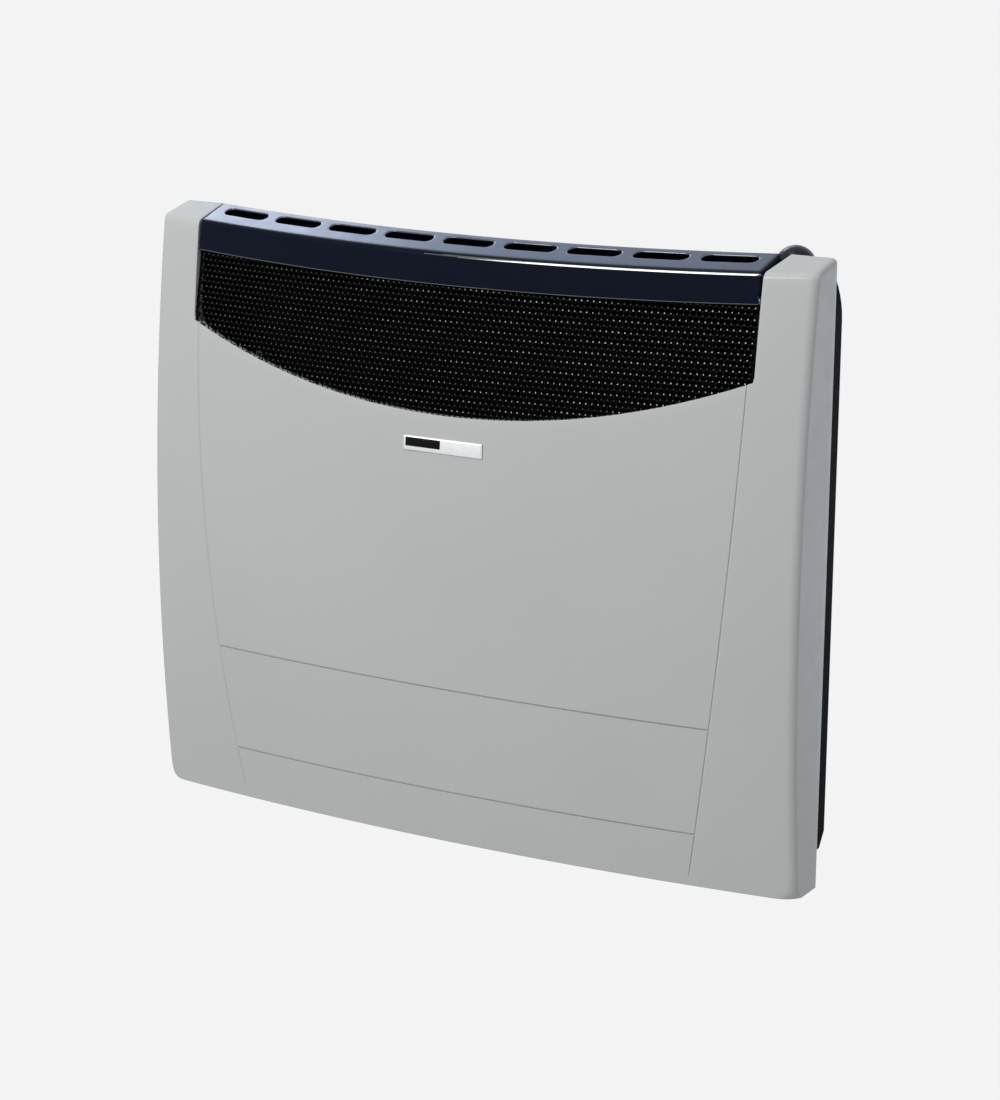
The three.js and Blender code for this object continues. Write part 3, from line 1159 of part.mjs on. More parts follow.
function buildKnob() {
  const dome = spread(0, 90, 7).map((degrees) => {
    const angle = THREE.MathUtils.degToRad(degrees);
    return [KNOB_RADIUS * Math.cos(angle), KNOB_DOME_CENTRE + KNOB_RADIUS * Math.sin(angle)];
  });
  dome[dome.length - 1][0] = 0;
  return turned([
    [ROD_RADIUS + SEAT_GAP, KNOB_FOOT], [KNOB_RADIUS - 1, KNOB_FOOT], [KNOB_RADIUS, KNOB_FOOT + 2],
    ...dome, [0, socketTop], [ROD_RADIUS + SEAT_GAP, socketTop], [ROD_RADIUS + SEAT_GAP, KNOB_FOOT],
  ], 'z', CONTROL_X, CONTROL_Y, 0, 24);
}

piece('control_knob', buildKnob(), NAVY_GLOSS);

// the rod runs in a bush on a shelf below the knob
const shelfTop = SHELF_Z + SHELF_SHEET;
function buildShelf() {
  const plate = boxBetween(CONTROL_X - SHELF_WIDTH / 2, CONTROL_X + SHELF_WIDTH / 2,
    CONTROL_Y - SHELF_WIDTH / 2, ON_CHASSIS, SHELF_Z, shelfTop);
  const flange = boxBetween(CONTROL_X - SHELF_WIDTH / 2, CONTROL_X + SHELF_WIDTH / 2,
    ON_CHASSIS - SHELF_SHEET, ON_CHASSIS, SHELF_Z - 28, shelfTop);
  return cut(join(plate, flange), rod(BUSH_RADIUS + SEAT_GAP, SHELF_Z - 5, shelfTop + 5, 'z', CONTROL_X, CONTROL_Y));
}

piece('knob_shelf', buildShelf(), GALVANISED);
const bushFlange = shelfTop + SEAT_GAP;
piece('rod_bush', turned([
  [ROD_RADIUS + RUNNING_GAP, SHELF_Z - 5], [BUSH_RADIUS, SHELF_Z - 5], [BUSH_RADIUS, bushFlange],
  [BUSH_RADIUS + BUSH_FLANGE, bushFlange], [BUSH_RADIUS + BUSH_FLANGE, bushFlange + BUSH_FLANGE_HEIGHT],
  [ROD_RADIUS + RUNNING_GAP, bushFlange + BUSH_FLANGE_HEIGHT], [ROD_RADIUS + RUNNING_GAP, SHELF_Z - 5],
], 'z', CONTROL_X, CONTROL_Y, 0, 20), BLACK_PLASTIC);

// ---- gas inlet ------------------------------------------------------------------------------

const threadTop = NIPPLE_FOOT + NIPPLE_THREAD_LENGTH;
const nippleTop = threadTop + NIPPLE_HEX_HEIGHT;
const hexagon = outline(spread(0, 300, 5).map((degrees) => {
  const angle = THREE.MathUtils.degToRad(degrees);
  return [CONTROL_X + NIPPLE_HEX_RADIUS * Math.cos(angle), CONTROL_Y + NIPPLE_HEX_RADIUS * Math.sin(angle)];
}));
piece('gas_inlet_nipple', cut(
  join(
    rod(NIPPLE_THREAD_RADIUS, NIPPLE_FOOT, threadTop + 1, 'z', CONTROL_X, CONTROL_Y, 24),
    plateXY(hexagon, threadTop, nippleTop),
  ),
  rod(NIPPLE_BORE, NIPPLE_FOOT - 5, nippleTop + 5, 'z', CONTROL_X, CONTROL_Y),
), BRASS);
const inletBore = INLET_PIPE_RADIUS - INLET_PIPE_WALL;
piece('inlet_pipe', turned([
  [inletBore, nippleTop + SEAT_GAP], [INLET_PIPE_RADIUS, nippleTop + SEAT_GAP],
  [INLET_PIPE_RADIUS, VALVE_FOOT - SEAT_GAP], [inletBore, VALVE_FOOT - SEAT_GAP],
  [inletBore, nippleTop + SEAT_GAP],
], 'z', CONTROL_X, CONTROL_Y, 0, 16), STEEL);

const clampZ = nippleTop + 12;
piece('inlet_bracket', cut(
  join(
    boxBetween(CONTROL_X - 18, CONTROL_X + 18, CONTROL_Y - 14, ON_CHASSIS, clampZ, clampZ + 2),
    boxBetween(CONTROL_X - 18, CONTROL_X + 18, ON_CHASSIS - 2, ON_CHASSIS, clampZ, clampZ + 26),
  ),
  rod(INLET_PIPE_RADIUS + SEAT_GAP, clampZ - 5, clampZ + 5, 'z', CONTROL_X, CONTROL_Y),
), GALVANISED);

// ---- pipes and leads, each along its whole route ---------------------------------------------

const portY = valveFront - SEAT_GAP;
const supplyX = CONTROL_X - 5;
const bend = BURNER_Y - portY;
piece('burner_supply_pipe', pipe([
  [supplyX, portY, BURNER_Z], [supplyX, portY + bend * 0.15, BURNER_Z], [supplyX, portY + bend * 0.3, BURNER_Z],
  [supplyX + bend * 0.25, portY + bend * 0.75, BURNER_Z], [supplyX + bend * 0.8, BURNER_Y, BURNER_Z],
  [supplyX + bend * 1.5, BURNER_Y, BURNER_Z], [holderEnd + SEAT_GAP, BURNER_Y, BURNER_Z],
], SUPPLY_PIPE_RADIUS, 16, 10), COPPER);

// a small pipe or lead: out of the valve's side, through the burner plate, up to its stem
function smallRoute(startY, startZ, sag, [passY, passZ], stemX, dip) {
  const side = valveLeft - SEAT_GAP;
  const turnX = (side + PLATE_OUTER) / 2;
  const floorZ = pilotFoot - dip;
  return [
    [side, startY, startZ], [side - PORT_RUN / 2, startY, startZ], [side - PORT_RUN, startY, startZ],
    [turnX + ROUTE_EASE, (startY + passY) / 2, (startZ + passZ) / 2 - sag],
    [PLATE_OUTER + ROUTE_BEND / 2, passY + ROUTE_EASE, passZ - ROUTE_EASE],
    [PLATE_OUTER + PORT_RUN / 2, passY, passZ],
    [PLATE_INNER - PORT_RUN / 2, passY, passZ],
    [PLATE_INNER - ROUTE_BEND, passY - ROUTE_EASE, passZ - PORT_RUN],
    [(stemX + PLATE_INNER) / 2 + PORT_RUN, (passY + pilotY) / 2 - ROUTE_EASE, floorZ + PORT_RUN],
    [stemX + ROUTE_BEND, pilotY, floorZ], [stemX + PORT_RUN, pilotY, floorZ],
    [stemX, pilotY, floorZ + PORT_RUN],
    [stemX, pilotY, pilotFoot - ROUTE_EASE], [stemX, pilotY, pilotFoot - SEAT_GAP],
  ];
}

const pilotRoute = smallRoute(valveRear - PILOT_PORT_INSET, BURNER_Z + PILOT_PORT_RISE, PILOT_SAG,
  pilotPass, PILOT_X, PILOT_DIP);
const leadRoute = smallRoute(valveFront + LEAD_PORT_INSET, BURNER_Z - LEAD_PORT_DROP, LEAD_SAG,
  leadPass, PILOT_X - PILOT_PITCH, LEAD_DIP);
const wireRoute = smallRoute(valveFront + WIRE_PORT_INSET, BURNER_Z + WIRE_PORT_RISE, -WIRE_HUMP,
  wirePass, PILOT_X + PILOT_PITCH, WIRE_DIP);
piece('pilot_pipe', pipe(pilotRoute, PILOT_PIPE_RADIUS, PIPE_STEPS), ALUMINIUM);
piece('thermocouple_lead', pipe(leadRoute, LEAD_RADIUS, PIPE_STEPS), COPPER);
piece('ignition_wire', pipe(wireRoute, WIRE_RADIUS, PIPE_STEPS), BLACK_PLASTIC);

export default heater;
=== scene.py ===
import math
import bmesh
import bpy
import numpy as np
from mathutils import Matrix, Vector


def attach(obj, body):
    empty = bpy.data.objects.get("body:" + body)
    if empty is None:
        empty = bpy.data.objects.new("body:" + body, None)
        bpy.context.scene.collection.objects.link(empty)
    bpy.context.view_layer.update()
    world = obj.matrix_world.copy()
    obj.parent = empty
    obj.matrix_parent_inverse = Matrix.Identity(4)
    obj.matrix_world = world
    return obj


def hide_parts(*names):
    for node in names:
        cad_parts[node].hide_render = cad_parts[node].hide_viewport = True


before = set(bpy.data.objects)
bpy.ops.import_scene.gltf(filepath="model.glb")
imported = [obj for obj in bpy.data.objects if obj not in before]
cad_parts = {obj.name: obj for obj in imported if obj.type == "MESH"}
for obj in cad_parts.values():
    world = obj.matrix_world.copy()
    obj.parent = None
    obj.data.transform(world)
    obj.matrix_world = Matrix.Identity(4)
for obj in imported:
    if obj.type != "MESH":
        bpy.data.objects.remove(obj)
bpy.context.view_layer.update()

# ---- View, light and backdrop ---------------------------------------------
# The heater hangs in a plain pale studio. A long lens looks at it from the right and
# slightly above. A wide soft lamp lights it from the front left, with a small one above it
# and three bluish ones behind, which edge the cover's top and the right side.

LENS_MM = 100.84
CAMERA_AT = (1.4713, -2.6068, 0.5230)
CAMERA_TURN = math.radians(29.818)
CAMERA_TILT = math.radians(14.106)
CAMERA_ROLL = math.radians(0.478)
CAMERA_REACH = 200.0
FILM_MM = 36.0
AMBIENT_TONE = (0.98, 0.985, 1.0, 1.0)
AMBIENT_STRENGTH = 0.46
BACKDROP_TONE = (0.914, 0.914, 0.914, 1.0)
FLOOR_HEIGHT = -2.6
FLOOR_HALF = 60.0
FLOOR_TONE = (0.8, 0.8, 0.8, 1.0)
FLOOR_SEEN_SHARE = 0.97
# name, place, aim, size, watts, tone
LAMPS = (
    ("key_lamp", (-1.1, -3.45, 2.4), (0.0, -0.1, -0.1), (1.7, 1.9), 127.0, (0.985, 0.995, 1.0)),
    ("top_lamp", (-0.30, -0.55, 2.2), (0.30, -0.14, 0.09), (1.0, 1.0), 6.0, (1.0, 1.0, 1.0)),
    ("rear_left_lamp", (-4.0, 3.4, 3.2), (-0.2, -0.1, 0.1), (1.5, 1.1), 36.0, (0.76, 0.83, 1.0)),
    ("rear_middle_lamp", (-3.1, 4.2, 3.5), (0.0, -0.1, 0.1), (2.0, 1.6), 31.0, (0.46, 0.63, 1.0)),
    ("right_lamp", (1.7, 3.5, -0.5), (0.3, -0.1, -0.25), (1.2, 2.0), 41.0, (0.77, 0.84, 1.0)),
)


def aim_camera():
    turn, level = CAMERA_TURN, math.cos(CAMERA_TILT)
    ahead = Vector((-math.sin(turn) * level, math.cos(turn) * level, -math.sin(CAMERA_TILT)))
    right = Vector((math.cos(turn), math.sin(turn), 0.0))
    up = right.cross(ahead)
    c, s = math.cos(CAMERA_ROLL), math.sin(CAMERA_ROLL)
    right, up = c * right + s * up, c * up - s * right
    data = bpy.data.cameras.new("camera")
    data.sensor_fit = "VERTICAL"
    data.sensor_height = FILM_MM
    data.lens = LENS_MM
    data.clip_end = CAMERA_REACH
    camera = bpy.data.objects.new("camera", data)
    bpy.context.scene.collection.objects.link(camera)
    place = Matrix((right, up, -ahead)).transposed().to_4x4()
    place.translation = Vector(CAMERA_AT)
    camera.matrix_world = place
    bpy.context.scene.camera = camera


def soft_lamp(name, at, look, size, watts, tone):
    data = bpy.data.lights.new(name, "AREA")
    data.shape = "RECTANGLE"
    data.size, data.size_y = size
    data.energy = watts
    data.color = tone
    lamp = bpy.data.objects.new(name, data)
    bpy.context.scene.collection.objects.link(lamp)
    lamp.location = at
    lamp.rotation_euler = (Vector(look) - Vector(at)).to_track_quat("-Z", "Y").to_euler()


def seen_directly(nodes, links):
    """One for what the camera sees, straight, mirrored or through glass, and nothing for light."""
    path = nodes.new("ShaderNodeLightPath")
    seen = path.outputs["Is Camera Ray"]
    for kind in ("Is Glossy Ray", "Is Transmission Ray"):
        either = nodes.new("ShaderNodeMath")
        either.operation = "MAXIMUM"
        links.new(seen, either.inputs[0])
        links.new(path.outputs[kind], either.inputs[1])
        seen = either.outputs[0]
    return seen


def show_both(nodes, links, out, share, unseen, seen):
    """Shows one shader to the given share of the rays, and the other to the rest."""
    mix = nodes.new("ShaderNodeMixShader")
    for source, socket in zip((share, unseen.outputs[0], seen.outputs[0]), mix.inputs):
        links.new(source, socket)
    links.new(mix.outputs[0], out.inputs["Surface"])


def studio_world():
    world = bpy.data.worlds.new("studio")
    bpy.context.scene.world = world
    world.use_nodes = True
    nodes, links = world.node_tree.nodes, world.node_tree.links
    nodes.clear()
    out = nodes.new("ShaderNodeOutputWorld")
    ambient = nodes.new("ShaderNodeBackground")
    ambient.inputs["Color"].default_value = AMBIENT_TONE
    ambient.inputs["Strength"].default_value = AMBIENT_STRENGTH
    seen = nodes.new("ShaderNodeBackground")
    seen.inputs["Color"].default_value = BACKDROP_TONE
    show_both(nodes, links, out, seen_directly(nodes, links), ambient, seen)


def pale_floor():
    mesh = bpy.data.meshes.new("floor")
    corners = [(x * FLOOR_HALF, y * FLOOR_HALF, FLOOR_HEIGHT)
               for x, y in ((-1, -1), (1, -1), (1, 1), (-1, 1))]
    mesh.from_pydata(corners, [], [(0, 1, 2, 3)])
    floor = bpy.data.objects.new("floor", mesh)
    bpy.context.scene.collection.objects.link(floor)
    surface = bpy.data.materials.new("pale_floor")
    surface.use_nodes = True
    nodes, links = surface.node_tree.nodes, surface.node_tree.links
    nodes.clear()
    out = nodes.new("ShaderNodeOutputMaterial")
    matt = nodes.new("ShaderNodeBsdfDiffuse")
    matt.inputs["Color"].default_value = FLOOR_TONE
    seen = nodes.new("ShaderNodeEmission")
    seen.inputs["Color"].default_value = BACKDROP_TONE
    share = nodes.new("ShaderNodeMath")
    share.operation = "MULTIPLY"
    share.inputs[1].default_value = FLOOR_SEEN_SHARE
    links.new(seen_directly(nodes, links), share.inputs[0])
    show_both(nodes, links, out, share.outputs[0], matt, seen)
    mesh.materials.append(surface)


bpy.context.scene.view_settings.view_transform = "Standard"
aim_camera()
studio_world()
for lamp in LAMPS:
    soft_lamp(*lamp)
pale_floor()

# ---- Front casing ---------------------------------------------------------
# One sheet of pressed steel, bowed in plan and bellied in profile, enamelled in a warm
# light grey. Its edges are folded in, and four narrow grooves are pressed into the front.

MM = 0.001
HANGING_HEIGHT = 500.0
CASING_HALF = 360.0
CASING_HEIGHT = 603.0
CASING_REAR = -58.5
SIDE_DEPTHS = (44.7, 63.2, 39.5)
BOWS = (24.7, 31.9)
TOP_SLOPE = 0.2325
CORNER_RADIUS = 11.0
CORNER_CREASE = math.radians(25.0)
TOP_EDGE_RADIUS = 5.5
OPENING_HALF = 308.3
OPENING_FLARE = 0.093
OPENING_MEASURED_AT = 490.0
BELOW_OPENING = 300.0
SMILE_LOW = 432.8
SMILE_RISE = (78.8, 4.2)
GROOVE_HALVES = (252.7, 287.0, 303.0)
GROOVE_TOP = 493.7
GROOVE_LEVELS = (54.2, 161.8)
GROOVE_HALF_WIDTH = 1.15
UPRIGHT_GROOVE_DEPTH = 0.95
LEVEL_GROOVE_DEPTH = 1.9
GROOVE_PROFILE = (
    (-1.35, 0.0), (-1.15, 0.0), (-0.5, 1.0), (-0.35, 1.0), (0.7, 0.08), (0.95, 0.0), (1.35, 0.0))
GROOVE_REACH = GROOVE_PROFILE[-1][0] * GROOVE_HALF_WIDTH
GROOVE_FOOT = (7.0, 3.0)
FOOT_CORNER_HEIGHT = 17.0
FOOT_CORNER_EXTRA = 19.0
FOLD_RADIUS = 1.1
FOLD_STEPS = 4
FOOT_FOLD = 0.7
FLANGE_DEPTHS = (7.0, 12.0, 14.0)
FLANGE_BLEND = 14.0
FOOT_BAND = 1.5
REAR_BAND = 2.0
OPENING_BAND = 8.0
CASING_SHEET = 0.9
CASING_CREASES = 26.0
EDGE_ABOVE = 78.0
EDGE_RISE = (0.12, 0.93)
EDGE_FORWARD = 0.2
LEDGE_BELOW = -300.0
LEDGE_RISE = 0.6
LEDGE_FORWARD = 0.15
FOOT_LIFTS = (0.0, 0.6, 1.6, 3.2, 5.4, 8.2, 12.0, 17.0)
ROWS_TO_FIRST_GROOVE = 4
ROWS_TO_SECOND_GROOVE = 11
ROWS_TO_OPENING = 36
PANEL_INNER = 28
PANEL_OUTER = 3
PILLAR_FRONT = 9
PILLAR_ARC = 8
PILLAR_SIDE = 7
PILLAR_COLUMNS = PILLAR_FRONT + PILLAR_ARC + PILLAR_SIDE + 1
PILLAR_ROWS = 16
FILLET_ROWS = 7
SETTLE_FROM = 590.0


def quadratic_through(low, middle, high, share):
    s = 2.0 * share - 1.0
    return middle + (high - low) / 2.0 * s + ((high + low) / 2.0 - middle) * s * s


def front_y(x, z):
    depth = quadratic_through(*SIDE_DEPTHS, z / CASING_HEIGHT)
    bow = BOWS[0] + (BOWS[1] - BOWS[0]) * (z / CASING_HEIGHT)
    return CASING_REAR - depth - bow * (1.0 - (x / CASING_HALF) ** 2)


def smile(x):
    u2 = (x / CASING_HALF) ** 2
    return SMILE_LOW + SMILE_RISE[0] * u2 + SMILE_RISE[1] * u2 * u2


def groove_half(z):
    return quadratic_through(*GROOVE_HALVES, z / GROOVE_TOP)


def steps(start, end, count):
    return [start + (end - start) * i / count for i in range(count + 1)]


def clamped(share):
    return min(1.0, max(0.0, share))


def in_frame(points):
    placed = np.array(points, float) * MM
    placed[:, 2] -= HANGING_HEIGHT * MM
    return placed


def add_piece(name, points, faces, body="heater_body", smooth=True):
    mesh = bpy.data.meshes.new(name)
    mesh.from_pydata(in_frame(points).tolist(), [], [list(map(int, f)) for f in faces])
    mesh.validate()
    if smooth:
        mesh.polygons.foreach_set("use_smooth", [True] * len(mesh.polygons))
    obj = bpy.data.objects.new(name, mesh)
    bpy.context.scene.collection.objects.link(obj)
    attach(obj, body)
    return obj


def apply_modifiers(obj):
    graph = bpy.context.evaluated_depsgraph_get()
    made = bpy.data.meshes.new_from_object(obj.evaluated_get(graph))
    old = obj.data
    obj.modifiers.clear()
    obj.data = made
    bpy.data.meshes.remove(old)


def thicken(obj, sheet):
    skin = obj.modifiers.new("sheet", "SOLIDIFY")
    skin.thickness = sheet * MM
    skin.offset = -1.0
    skin.use_even_offset = False
    apply_modifiers(obj)


def join_rings(faces, low, high):
    """Adds the band of faces between two closed rings of vertices."""
    for j in range(len(low)):
        k = (j + 1) % len(low)
        faces.append([low[j], low[k], high[k], high[j]])


def boundary_loops(faces):
    """Closed loops of vertices along the open edges, in the order that continues the faces."""
    directed = set()
    for face in faces:
        for a, b in zip(face, face[1:] + face[:1]):
            directed.add((a, b))
    following = {b: a for a, b in directed if (b, a) not in directed}
    loops = []
    while following:
        start = next(iter(following))
        loop, at = [], start
        while at in following:
            loop.append(at)
            at = following.pop(at)
        loops.append(loop)
    return loops


def corner_arc(z, inset):
    """The plan rounding between front and side, which opens out as it nears the foot."""
    low = clamped(1.0 - z / FOOT_CORNER_HEIGHT)
    opened = FOOT_CORNER_EXTRA * (1.0 - math.sqrt(1.0 - low * low))
    radius = max(CORNER_RADIUS + opened - inset, 0.5)
    half = CASING_HALF - inset
    lean = math.atan(front_y(half, z) - front_y(half - 1.0, z))
    centre_x = half - radius * math.cos(CORNER_CREASE)
    end_x = centre_x + radius * math.sin(lean)
    centre_y = front_y(end_x, z) + inset + radius * math.cos(lean)
    return radius, half, lean, centre_x, end_x, centre_y


def roof(y, inset):
    return CASING_HEIGHT - inset + TOP_SLOPE * (y - CASING_REAR)


def opening_x(y, edge):
    flare = OPENING_FLARE * (y - front_y(OPENING_HALF, OPENING_MEASURED_AT))
    return OPENING_HALF + flare + edge


def panel_side(edge):
    """Where the front panel meets the pillar below the opening."""
    return opening_x(front_y(OPENING_HALF, BELOW_OPENING), edge[0])


def panel_rows(edge):
    heights = [edge[1] + lift for lift in FOOT_LIFTS]
    for level, between in zip(GROOVE_LEVELS, (ROWS_TO_FIRST_GROOVE, ROWS_TO_SECOND_GROOVE)):
        heights += steps(heights[-1], level - GROOVE_REACH, between)[1:-1]
        heights += [level + d * GROOVE_HALF_WIDTH for d, _ in GROOVE_PROFILE]
    rows = [("level", z) for z in heights]
    rows += [("rising", share) for share in steps(0.0, 1.0, ROWS_TO_OPENING)[1:]]
    return rows


def row_height(row, x, edge):
    kind, value = row
    if kind == "level":
        return value
    start = GROOVE_LEVELS[1] + GROOVE_REACH
    return start + (smile(x) - edge[0] - start) * value


def groove_share(away):
    places, shares = zip(*GROOVE_PROFILE)
    return float(np.interp(away / GROOVE_HALF_WIDTH, places, shares))


def panel_point(column, row, inset, edge):
    """A point of the panel's right half. edge is how far in the three free edges lie."""
    x = 0.0
    outer = panel_side(edge)
    zone, value = column
    for _ in range(4):
        z = row_height(row, x, edge)
        centre = groove_half(z)
        if zone == "inner":
            x = (centre - GROOVE_REACH) * value
        elif zone == "groove":
            x = centre + value * GROOVE_HALF_WIDTH
        else:
            x = centre + GROOVE_REACH + (outer - centre - GROOVE_REACH) * value
    sunk = 0.0
    if inset == 0.0:
        upright = clamped((z - GROOVE_FOOT[0]) / GROOVE_FOOT[1])
        sunk = groove_share(x - centre) * upright * UPRIGHT_GROOVE_DEPTH
        ends = clamped((centre - x) / GROOVE_REACH)
        for level in GROOVE_LEVELS:
            sunk = max(sunk, groove_share(z - level) * ends * LEVEL_GROOVE_DEPTH)
    return x, front_y(x, z) + inset + sunk, z


def pillar_plan(k, z, inset, edge):
    """Plan position k of a pillar, from the opening's edge round the corner to the rear edge."""
    radius, half, lean, centre_x, end_x, centre_y = corner_arc(z, inset)
    if k <= PILLAR_FRONT:
        start = opening_x(front_y(OPENING_HALF, z) + inset, edge[0])
        if z < smile(OPENING_HALF):
            start = panel_side(edge)
        x = start + (end_x - start) * k / PILLAR_FRONT
        return x, front_y(x, z) + inset
    if k <= PILLAR_FRONT + PILLAR_ARC:
        share = (k - PILLAR_FRONT) / PILLAR_ARC
        angle = (math.pi / 2 - lean) * (1.0 - share) + CORNER_CREASE * share
        return centre_x + radius * math.cos(angle), centre_y - radius * math.sin(angle)
    share = (k - PILLAR_FRONT - PILLAR_ARC) / PILLAR_SIDE
    start = centre_y - radius * math.sin(CORNER_CREASE)
    return half, start + (CASING_REAR - edge[2] - start) * share


def pillar_points(inset, edge, joined_rows):
    """All rows of the right pillar. The first rows continue those of the panel."""
    rounding = max(TOP_EDGE_RADIUS - inset, 0.5)
    rows = []
    for height in joined_rows:
        rows.append([(*pillar_plan(k, height, inset, edge), height)
                     for k in range(PILLAR_COLUMNS)])
    start = joined_rows[-1]

    def settled(k, extra, rule):
        z = SETTLE_FROM
        for _ in range(5):
            x, y = pillar_plan(k, z, inset + extra, edge)
            z = rule(y)
        return x, y, z

    for share in steps(0.0, 1.0, PILLAR_ROWS)[1:]:
        rows.append([
            settled(k, 0.0, lambda y: start + (roof(y, inset) - rounding - start) * share)
            for k in range(PILLAR_COLUMNS)])
    for angle in steps(0.0, math.pi / 2, FILLET_ROWS)[1:]:
        extra = rounding * (1.0 - math.cos(angle))
        rows.append([
            settled(k, extra, lambda y: roof(y, inset) - rounding + rounding * math.sin(angle))
            for k in range(PILLAR_COLUMNS)])
    # the first column leans out with the opening's flare
    for row in rows[len(joined_rows):]:
        for k in range(PILLAR_FRONT):
            x, y, z = row[k]
            away = 1.0 - k / PILLAR_FRONT
            row[k] = (x + (opening_x(y, edge[0]) - row[0][0]) * away * (k > 0), y, z)
        x, y, z = row[0]
        row[0] = (opening_x(y, edge[0]), y, z)
    # the flat top, from the fillet back to the rear edge
    ring = rows[-1]
    top = []
    for k in range(PILLAR_FRONT + 1, PILLAR_COLUMNS):
        line = []
        share = (k - PILLAR_FRONT) / (PILLAR_COLUMNS - 1 - PILLAR_FRONT)
        for i in range(PILLAR_FRONT):
            y_side, y_front = ring[k][1], ring[i][1] - ring[PILLAR_FRONT][1]
            y = y_side + y_front * (1.0 - share)
            inner = opening_x(y, edge[0])
            x = inner + (ring[k][0] - inner) * (i / PILLAR_FRONT)
            line.append((x, y, roof(y, inset)))
        top.append(line)
    return rows, top


def casing_skin(inset, edge):
    """Every point of the casing's face, moved in by inset, with its free edges at edge."""
    columns = [("inner", s) for s in steps(0.0, 1.0, PANEL_INNER)]
    columns += [("groove", d) for d, _ in GROOVE_PROFILE[1:]]
    columns += [("outer", s) for s in steps(0.0, 1.0, PANEL_OUTER)[1:]]
    rows = panel_rows(edge)
    half_panel = [[panel_point(c, r, inset, edge) for c in columns] for r in rows]
    points = []
    for line in half_panel:
        points += [(-x, y, z) for x, y, z in reversed(line[1:])] + line
    heights = [line[-1][2] for line in half_panel]
    pillar, top = pillar_points(inset, edge, heights)
    for side in (1, -1):
        for line in pillar + top:
            points += [(side * x, y, z) for x, y, z in line]
    return points, len(columns), len(rows)


def casing_faces(column_count, row_count):
    width = 2 * column_count - 1
    faces = []
    for r in range(row_count - 1):
        for c in range(width - 1):
            a = r * width + c
            faces.append([a, a + 1, a + 1 + width, a + width])
    base = row_count * width
    pillar_rows = row_count + PILLAR_ROWS + FILLET_ROWS
    block = pillar_rows * PILLAR_COLUMNS + (PILLAR_COLUMNS - 1 - PILLAR_FRONT) * PILLAR_FRONT
    for index, side in enumerate((1, -1)):
        start = base + index * block

        def at(r, k):
            if k == 0 and r < row_count:
                return r * width + (width - 1 if side == 1 else 0)
            return start + r * PILLAR_COLUMNS + k

        def above(line, i):
            k = PILLAR_FRONT + line
            if line == 0:
                return at(pillar_rows - 1, i)
            if i == PILLAR_FRONT:
                return at(pillar_rows - 1, k)
            return start + pillar_rows * PILLAR_COLUMNS + (line - 1) * PILLAR_FRONT + i

        for r in range(pillar_rows - 1):
            for k in range(PILLAR_COLUMNS - 1):
                face = [at(r, k), at(r, k + 1), at(r + 1, k + 1), at(r + 1, k)]
                faces.append(face if side == 1 else face[::-1])
        for line in range(PILLAR_COLUMNS - 1 - PILLAR_FRONT):
            for i in range(PILLAR_FRONT):
                face = [above(line, i), above(line, i + 1),
                        above(line + 1, i + 1), above(line + 1, i)]
                faces.append(face if side == 1 else face[::-1])
    return faces


def compact(points, faces):
    used = sorted({i for f in faces for i in f})
    place = {old: new for new, old in enumerate(used)}
    return [points[i] for i in used], [[place[i] for i in f] for f in faces]


def build_casing():
    points, column_count, row_count = casing_skin(0.0, (FOLD_RADIUS, FOOT_FOLD, FOLD_RADIUS))
    faces = casing_faces(column_count, row_count)
    loop = boundary_loops(faces)[0]
    base = np.array(points)
    rings = []
    for angle in steps(0.0, math.pi / 2, FOLD_STEPS)[1:]:
        inset = FOLD_RADIUS * (1.0 - math.cos(angle))
        left = FOLD_RADIUS * (1.0 - math.sin(angle))
        skin = casing_skin(inset, (left, left * FOOT_FOLD / FOLD_RADIUS, left))[0]
        rings.append(np.array(skin)[loop])
    at_opening, at_foot, at_rear = [
        np.array(casing_skin(depth, (0.0, 0.0, 0.0))[0]) for depth in FLANGE_DEPTHS]
    deep = []
    for i in loop:
        x, y, z = base[i]
        if z < FOOT_BAND:
            deep.append(at_foot[i])
        elif y > CASING_REAR - REAR_BAND:
            deep.append(at_rear[i])
        elif abs(x) < OPENING_HALF + OPENING_BAND and z > BELOW_OPENING:
            share = clamped((abs(x) - OPENING_HALF + FLANGE_BLEND) / FLANGE_BLEND)
            deep.append(at_opening[i] * (1 - share) + at_rear[i] * share)
        else:
            deep.append(at_foot[i])
    rings.append(np.array(deep))
    low, count = loop, len(points)
    for _ in rings:
        high = list(range(count, count + len(loop)))
        join_rings(faces, low, high)
        low, count = high, count + len(loop)
    return compact(np.vstack([base, *rings]).tolist(), faces)


def face_out(obj, outward):
    """Turns every face over when the first face's normal doesn't follow outward."""
    first = obj.data.polygons[0]
    if first.normal.dot(Vector(outward)) < 0:
        obj.data.flip_normals()


casing = add_piece("casing_shell", *build_casing())
face_out(casing, (0, -1, 0))
thicken(casing, CASING_SHEET)
casing.data.set_sharp_from_angle(angle=math.radians(CASING_CREASES))
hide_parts("front_casing")


NOISE_RANGE = (0.3, 0.7)


